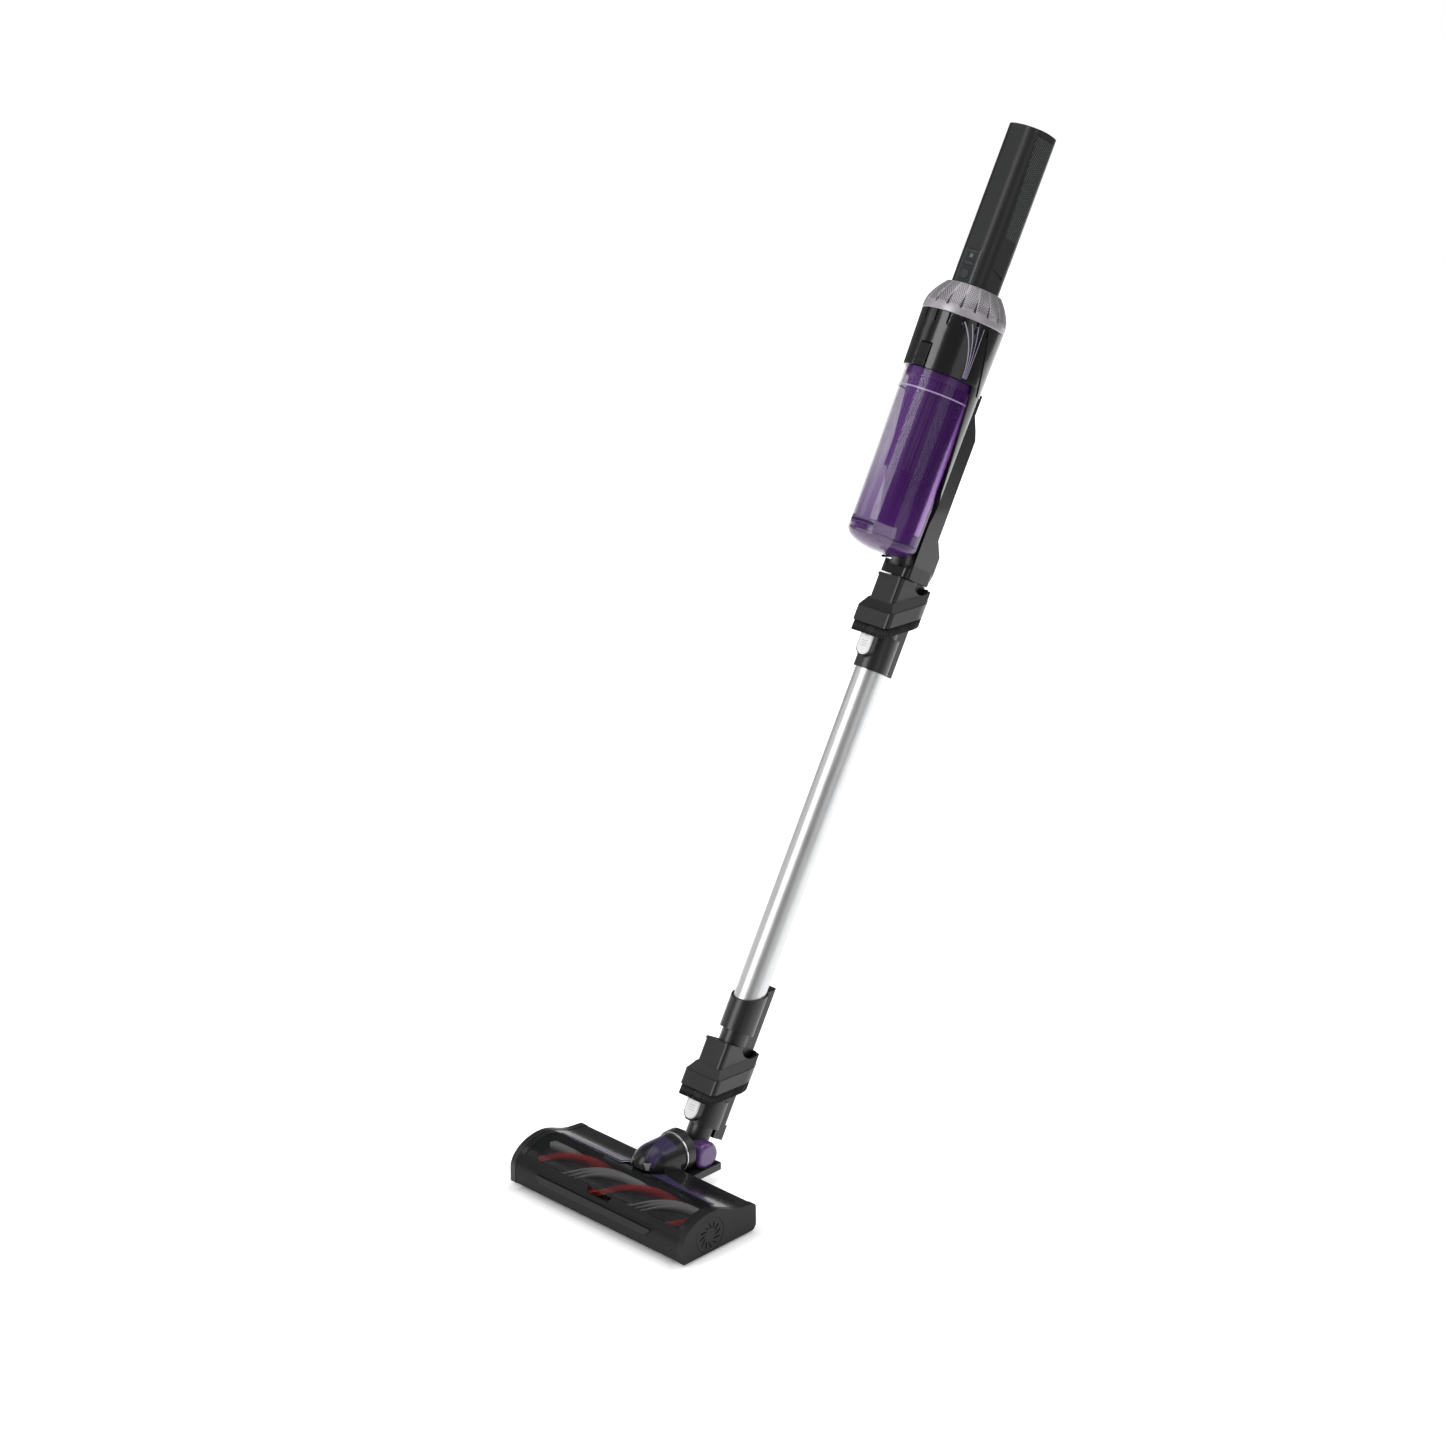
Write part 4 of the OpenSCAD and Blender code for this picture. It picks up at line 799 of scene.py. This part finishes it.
@dataclass
class FloorHead:
    """Powered floor head: shells, window, roller and the parts inside."""

    core_mm: float = 11.0
    tip_mm: float = 20.3
    half_mm: float = 106.5
    turn_deg: float = -395.0
    stations: int = 300
    hair_rows: int = 5
    row_gap_deg: float = 3.4
    fan_out: float = 1.25
    hair_m: float = 0.00042
    bristle_starts: tuple[float, ...] = (165.0, 345.0)
    felt_starts: tuple[float, ...] = (241.0, 255.0, 269.0, 61.0, 75.0, 89.0)
    felt_drop_mm: float = 1.4
    felt_foot_deg: float = 3.6
    felt_top_deg: float = 2.2

    def helix(self, start: float, radius: np.ndarray, along: np.ndarray) -> np.ndarray:
        """Points on a spiral round the roller's axis.

        The angle grows evenly along the roller from the starting angle.

        Args:
            start: Starting angle in degrees.
            radius: Distance from the axis in mm.
            along: 0 to 1 along the roller.

        Returns:
            Points in the row frame.
        """
        axis = np.array(joint("brush_roller_spin")["pos_m"])
        angle = np.radians(start + self.turn_deg * along)
        x = (2 * along - 1) * self.half_mm
        return axis + MM * np.stack([x, radius * np.cos(angle), radius * np.sin(angle)], -1)

    def build(self) -> None:
        """Makes the roller's bristle spirals and felt strips."""
        rng = np.random.default_rng(4)
        roots, tips = [], []
        for start in self.bristle_starts:
            for row in range(self.hair_rows):
                along = np.linspace(0.002, 0.998, self.stations)
                lean = (row - (self.hair_rows - 1) / 2) * self.row_gap_deg
                jitter = rng.normal(0, 1.2, self.stations)
                length = self.tip_mm - np.abs(rng.normal(0, 0.35, self.stations))
                ones = np.ones(self.stations)
                roots.append(self.helix(start + lean, self.core_mm * ones, along))
                tips.append(self.helix(start + lean * self.fan_out + jitter, length, along))
        points, faces = hairs(np.concatenate(roots), np.concatenate(tips), self.hair_m)
        bristles = surface("roller_bristles", RED, points, faces, "roller")
        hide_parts("red_bristles")
        strips = []
        along = np.linspace(0.0, 1.0, 260)
        wavy = 0.12 * np.sin(along * 260.0) + rng.normal(0, 0.03, along.size)
        base = self.core_mm * np.ones(along.size)
        top = self.tip_mm - self.felt_drop_mm + wavy
        corners = ((-self.felt_foot_deg, base), (-self.felt_top_deg, top), (self.felt_top_deg, top),
                   (self.felt_foot_deg, base))
        for start in self.felt_starts:
            strips.append(np.stack([self.helix(start + turn, radius, along) for turn, radius in corners], 1))
        rows = along.size
        side = ring_faces(rows, 4, False)
        ends = np.array([[3, 2, 1, 0], [4 * rows - 4, 4 * rows - 3, 4 * rows - 2, 4 * rows - 1]])
        faces = np.concatenate([side, ends])
        every = (faces[None] + (np.arange(len(strips)) * 4 * rows)[:, None, None]).reshape(-1, 4)
        felt = surface("felt_spirals", FELT, np.concatenate(strips), every, "roller")
        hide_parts("felt_strips")

    def dress(self) -> None:
        """Finishes the CAD nodes of the floor head."""
        dress("base_tray", CHARCOAL, 0.4)
        dress("top_cover", GLOSS_BLACK, 0.4)
        dress("window", SMOKE, 0.2)
        dress("front_bumper", CHARCOAL_LIGHT, 0.4)
        dress("left_end_cap", SATIN_BLACK, 0.9)
        dress("right_end_cap", CAP_GREY, 0.9)
        dress("roller_plug", CAP_GREY, 0.25)
        dress("roller_core", SATIN_BLACK, 0)
        dress("roller_bearings", STEEL, 0)
        dress("brush_motor", COIL, 0.3)
        dress("motor_pulley", BRASS, 0)
        dress("drive_belt", RUBBER, 0)
        dress("left_sole_wheel", WHEEL, 0.3)
        dress("right_sole_wheel", WHEEL, 0.3)
        dress("dome_cover", NECK, 0.8)
        dress("dome_lens", LENS, 0.3)
        dress("accent_strips", VIOLET, 0.1)
        dress("swivel_ring", SILVER, 0.2)
        dress("head_screws", STEEL, 0)


@dataclass
class Elbow:
    """Tilting elbow between the floor head and the wand."""

    bevel_mm: float = 0.6

    def dress(self) -> None:
        """Finishes the elbow's CAD nodes."""
        dress("swivel_collar", SATIN_BLACK, self.bevel_mm)
        dress("rear_roller", WHEEL, 0.3)
        dress("hinge_pin", STEEL, 0)
        dress("elbow_drum", DRUM, 0)


@dataclass
class Wand:
    """Metal wand with its two end fittings."""

    bevel_mm: float = 0.6

    def dress(self) -> None:
        """Finishes the wand's CAD nodes."""
        for node in ("foot_coupling", "lower_collar", "upper_clamp"):
            dress(node, SATIN_BLACK, self.bevel_mm)
        for node in ("foot_button", "wand_button"):
            dress(node, WHITE, 0.5)
        dress("wand_tube", TUBE, 0)
        dress("wand_wiring", LEAD, 0)


@dataclass
class DustingBrush:
    """One slide-down dusting brush."""

    sleeve: str
    skirt: str
    body: str
    foot_mm: float
    front_mm: float = 27.3
    back_mm: float = 34.6
    half_mm: float = 22.7
    corner_mm: float = 5.0
    length_mm: float = 11.2
    slant_deg: float = 27.0
    tufts: int = 84
    tuft_hairs: int = 22
    root_mm: float = 0.75
    tip_mm: float = 0.95
    flare_mm: float = 0.2
    uneven_mm: float = 0.3
    sunk_mm: float = 0.4
    inset_mm: float = 1.7
    hair_m: float = 0.00046
    hair_taper: float = 0.75

    def path(self, count: int) -> tuple[np.ndarray, np.ndarray]:
        """Points evenly spaced round the collar, with their outward normals.

        The outline runs straight across the front, up both sides, and round a half circle at the back.

        Args:
            count: Number of points.

        Returns:
            Points and unit normals, as side and rear.
        """
        r, w = self.corner_mm, self.half_mm
        t = np.linspace(0, 1, 24)
        corner, half = t * math.pi / 2, t * math.pi
        right = np.stack([w - r + r * np.sin(corner), -self.front_mm + r - r * np.cos(corner)], 1)
        back = np.stack([w * np.cos(half), self.back_mm - w + w * np.sin(half)], 1)
        left = right[::-1] * [-1, 1]
        line = np.concatenate([right, back, left, right[:1]])
        step = np.concatenate([[0], np.cumsum(np.linalg.norm(np.diff(line, axis=0), axis=1))])
        at = np.linspace(0, step[-1], count, endpoint=False)
        spots = np.stack([np.interp(at, step, line[:, k]) for k in (0, 1)], 1)
        ahead = np.stack([np.interp((at + 0.5) % step[-1], step, line[:, k]) for k in (0, 1)], 1)
        way = ahead - spots
        way = way / np.linalg.norm(way, axis=1, keepdims=True)
        return spots, np.stack([way[:, 1], -way[:, 0]], 1)

    def build(self) -> None:
        """Makes the tufts round the collar.

        Every tuft is a bunch of hairs that starts in the collar's slanted underside and spreads a little.
        """
        rng = np.random.default_rng(len(self.sleeve))
        spots, normal = self.path(self.tufts)
        slope = math.tan(math.radians(self.slant_deg))
        angle = rng.uniform(0, 2 * math.pi, (self.tufts, self.tuft_hairs))
        reach = np.sqrt(rng.uniform(0, 1, (self.tufts, self.tuft_hairs)))
        offset = np.stack([np.cos(angle) * reach, np.sin(angle) * reach], -1)
        low = self.front_mm + self.inset_mm
        root = spots[:, None] + self.root_mm * offset
        flare = self.flare_mm * normal[:, None] * rng.uniform(0, 1, (*angle.shape, 1))
        tip = spots[:, None] + self.tip_mm * offset + flare
        length = self.length_mm - rng.uniform(0, self.uneven_mm, angle.shape)
        root_z = self.foot_mm + (root[..., 1] + low) * slope + self.sunk_mm
        tip_z = self.foot_mm + (tip[..., 1] + low) * slope - length
        tip_z = np.maximum(tip_z, self.foot_mm + (root[..., 1] + low) * slope - self.length_mm)
        roots = to_row(np.concatenate([root, root_z[..., None]], -1).reshape(-1, 3))
        tips = to_row(np.concatenate([tip, tip_z[..., None]], -1).reshape(-1, 3))
        points, faces = hairs(roots, tips, self.hair_m, self.hair_taper)
        skirt = surface(f"{self.skirt}_tufts", BRISTLE, points, faces, self.body)
        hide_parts(self.skirt)

    def dress(self) -> None:
        """Finishes the sleeve."""
        dress(self.sleeve, SATIN_BLACK, 0.6)


@dataclass
class FilterRing:
    """Twist ring over the motor housing, with tapering slots round its shoulder."""

    foot_mm: float = 896.3
    height_mm: float = 35.0
    radius_mm: float = 44.5
    hole_mm: float = 26.6
    slots: int = 18
    slot_depth_mm: float = 1.9
    slot_foot_mm: float = 8.0
    slot_rise_mm: float = 15.0
    slot_share: float = 0.075
    columns: int = 432

    def build(self) -> None:
        """Makes the ring's outer skin and lining.

        A profile of radius against height is turned about the hand unit's axis: an upright band, a shoulder
        that curves in, the crown, and the lining. The slots sink into the shoulder and narrow as they rise.
        """
        t = np.linspace(0, 1, 48)
        drawn_in, heights = [0.5, 0.1, 0, 0, 0.05, 0.1], [0, 0.5, 2, 5, 6.8, 7.4]
        band = np.stack([np.full(6, self.radius_mm) - drawn_in, heights], 1)
        curve = np.stack([self.radius_mm - 0.2 - 14.6 * t ** 1.6, 7.6 + (self.height_mm - 7.9) * t], 1)
        crown = np.array([[self.hole_mm + 0.6, self.height_mm - 0.1], [self.hole_mm, self.height_mm - 0.6]])
        inner = np.array([[self.hole_mm, self.height_mm - 3.0], [self.radius_mm - 9, self.height_mm - 9],
                          [self.radius_mm - 3.4, 12.0], [self.radius_mm - 2.6, 0.4]])
        line = np.concatenate([band, curve, crown, inner])
        angle = np.arange(self.columns) / self.columns * 2 * math.pi
        r = np.repeat(line[:, :1], self.columns, 1)
        z = np.repeat(line[:, 1:], self.columns, 1)
        phase = (angle * self.slots / (2 * math.pi) + 0.5) % 1.0 - 0.5
        rise = np.clip((z - self.slot_foot_mm) / self.slot_rise_mm, 0, 1)
        outer = (np.arange(len(line)) < len(band) + len(curve))[:, None]
        width = self.slot_share * (1 - rise) + 0.004
        slot = np.clip(1.6 - np.abs(phase)[None] / width, 0, 1) * (rise > 0) * (rise < 1)
        r = r - self.slot_depth_mm * slot * outer
        points = to_row(np.stack([r * np.cos(angle), UNIT_OFFSET + r * np.sin(angle), self.foot_mm + z], -1))
        faces = ring_faces(len(line), self.columns, True)[:, ::-1]
        skin = surface("filter_ring_skin", RING, points, faces, "filter_ring")
        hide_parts("filter_ring")


@dataclass
class HandUnit:
    """Motor housing, duct, see-through bin and what's in it."""

    def build(self) -> None:
        """Makes the ring."""
        FilterRing().build()

    def dress(self) -> None:
        """Finishes the hand unit's CAD nodes."""
        dress("motor_housing", HOUSING, 0.4)
        dress("spine_duct", GLOSS_BLACK, 0.5)
        dress("duct_cover", COVER, 0.8)
        dress("bin_button", GLOSS_BLACK, 0.5)
        dress("dust_bin", BIN, 0)
        dress("bin_lid", LID, 0)
        dress("lid_hinge_pin", SATIN_BLACK, 0)
        dress("lid_seal", RUBBER, 0)
        dress("mesh_shroud", MESH, 0)
        dress("cyclone_cone", GLOSS_BLACK, 0)
        dress("foam_filter", FOAM, 0)
        dress("exhaust_foam", FOAM, 0)
        dress("suction_motor", COIL, 0.3)
        dress("impeller", SILVER, 0)


@dataclass
class Handle:
    """Battery handle with its control panel."""

    bevel_mm: float = 0.5

    def dress(self) -> None:
        """Finishes the handle's CAD nodes."""
        dress("handle_shell", HANDLE, self.bevel_mm)
        dress("handle_cap", SATIN_BLACK, 1.2)
        dress("grip_inlays", HANDLE, 0)
        dress("control_panel", PANEL, 0.15)
        dress("power_button", KEY_GREY, 0.3)
        dress("boost_button", KEY_GREY, 0.3)
        dress("battery_cells", CELL, 0.4)
        dress("circuit_board", BOARD, 0)
        dress("charge_socket", SATIN_BLACK, 0)


@dataclass
class Studio:
    """Floor, soft lights and the camera."""

    azimuth_deg: float = 44.15
    elevation_deg: float = 22.01
    distance_m: float = 4.028
    right_m: float = 0.09266
    rise_m: float = 0.4963
    lens_mm: float = 98.0
    sensor_mm: float = 36.0
    floor_cells: int = 23
    floor_across_m: tuple[float, float] = (-2.2, 2.2)
    floor_run_m: tuple[float, float] = (-1.1, 3.6)

    def floor(self) -> None:
        """Lays a pale floor that ends behind the view."""
        side = self.floor_cells + 1
        steps = [np.linspace(*span, side) for span in (self.floor_across_m, self.floor_run_m)]
        across, run = np.meshgrid(*steps, indexing="ij")
        a = math.radians(self.azimuth_deg)
        away = np.array([-math.sin(a), math.cos(a), 0])
        right = np.array([math.cos(a), math.sin(a), 0])
        grid = across[..., None] * right + run[..., None] * away
        i = np.arange(self.floor_cells)[:, None] * side
        j = np.arange(self.floor_cells)[None]
        quads = np.stack([i + j, i + j + side, i + j + side + 1, i + j + 1], -1).reshape(-1, 4)
        mesh = bpy.data.meshes.new("floor")
        mesh.from_pydata(grid.reshape(-1, 3).tolist(), [], quads.tolist())
        mesh.polygons.foreach_set("use_smooth", np.ones(len(mesh.polygons), bool))
        mesh.materials.append(FLOOR.material())
        obj = bpy.data.objects.new("floor", mesh)
        bpy.context.scene.collection.objects.link(obj)

    def light(self, name: str, place: Sequence[float], aim: Sequence[float], size: Sequence[float],
              power: float) -> None:
        """Adds a soft box.

        Args:
            name: Its name.
            place: Where it stands, in metres.
            aim: The point it faces.
            size: Width and height.
            power: Watts.
        """
        data = bpy.data.lights.new(name, "AREA")
        data.shape = "RECTANGLE"
        data.size, data.size_y = size
        data.energy = power
        obj = bpy.data.objects.new(name, data)
        way = Vector(aim) - Vector(place)
        obj.matrix_world = Matrix.Translation(place) @ way.to_track_quat("-Z", "Y").to_matrix().to_4x4()
        bpy.context.scene.collection.objects.link(obj)

    def camera(self) -> None:
        """Stands the camera at the fitted viewpoint."""
        a, e = math.radians(self.azimuth_deg), math.radians(self.elevation_deg)
        back = Vector((math.sin(a) * math.cos(e), -math.cos(a) * math.cos(e), math.sin(e)))
        right = Vector((math.cos(a), math.sin(a), 0))
        up = Vector((-math.sin(a) * math.sin(e), math.cos(a) * math.sin(e), math.cos(e)))
        data = bpy.data.cameras.new("camera")
        data.lens = self.lens_mm
        data.sensor_width = self.sensor_mm
        data.clip_start, data.clip_end = 0.05, 60.0
        obj = bpy.data.objects.new("camera", data)
        spot = self.distance_m * back + self.right_m * right + self.rise_m * up
        turn = Matrix((right, up, back)).transposed().to_4x4()
        obj.matrix_world = Matrix.Translation(spot) @ turn
        bpy.context.scene.collection.objects.link(obj)
        bpy.context.scene.camera = obj

    def world(self) -> None:
        """Sets a dim surround that looks white behind the object."""
        world = bpy.data.worlds.new("studio")
        world.use_nodes = True
        tree = world.node_tree
        back = tree.nodes["Background"]
        path = tree.nodes.new("ShaderNodeLightPath")
        level = tree.nodes.new("ShaderNodeMapRange")
        level.inputs["To Min"].default_value = 0.16
        level.inputs["To Max"].default_value = 1.0
        back.inputs["Color"].default_value = (1.0, 1.0, 1.0, 1.0)
        tree.links.new(path.outputs["Is Camera Ray"], level.inputs["Value"])
        tree.links.new(level.outputs["Result"], back.inputs["Strength"])
        bpy.context.scene.world = world

    def build(self) -> None:
        """Sets the whole studio."""
        self.floor()
        self.camera()
        self.light("key", (-0.7, -3.0, 2.3), (0.0, 0.3, 0.55), (1.8, 2.6), 80.0)
        self.light("side", (-2.6, -0.9, 1.5), (0.0, 0.3, 0.6), (0.9, 2.6), 9.0)
        self.light("fill", (3.0, -0.2, 1.7), (0.0, 0.3, 0.6), (1.6, 2.4), 12.0)
        self.light("rim", (1.9, 2.4, 1.9), (0.0, 0.3, 0.6), (0.8, 2.4), 16.0)
        self.light("top", (0.0, 0.4, 3.2), (0.0, 0.2, 0.0), (2.6, 2.6), 42.0)
        self.world()
        bpy.context.scene.view_settings.view_transform = "Standard"


def main() -> None:
    """Builds and dresses every sub-assembly, then sets the studio."""
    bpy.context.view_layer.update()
    brushes = [DustingBrush("lower_brush_sleeve", "lower_brush_bristles", "lower_brush", 61.0),
               DustingBrush("upper_brush_sleeve", "upper_brush_bristles", "upper_brush", 573.0)]
    head, unit = FloorHead(), HandUnit()
    head.build()
    for brush in brushes:
        brush.build()
    unit.build()
    for part in (head, Elbow(), Wand(), *brushes, unit, Handle()):
        part.dress()
        LOG.info("dressed %s", type(part).__name__)
    Studio().build()


if __name__ == "__main__":
    logging.basicConfig(level=logging.INFO)
    main()
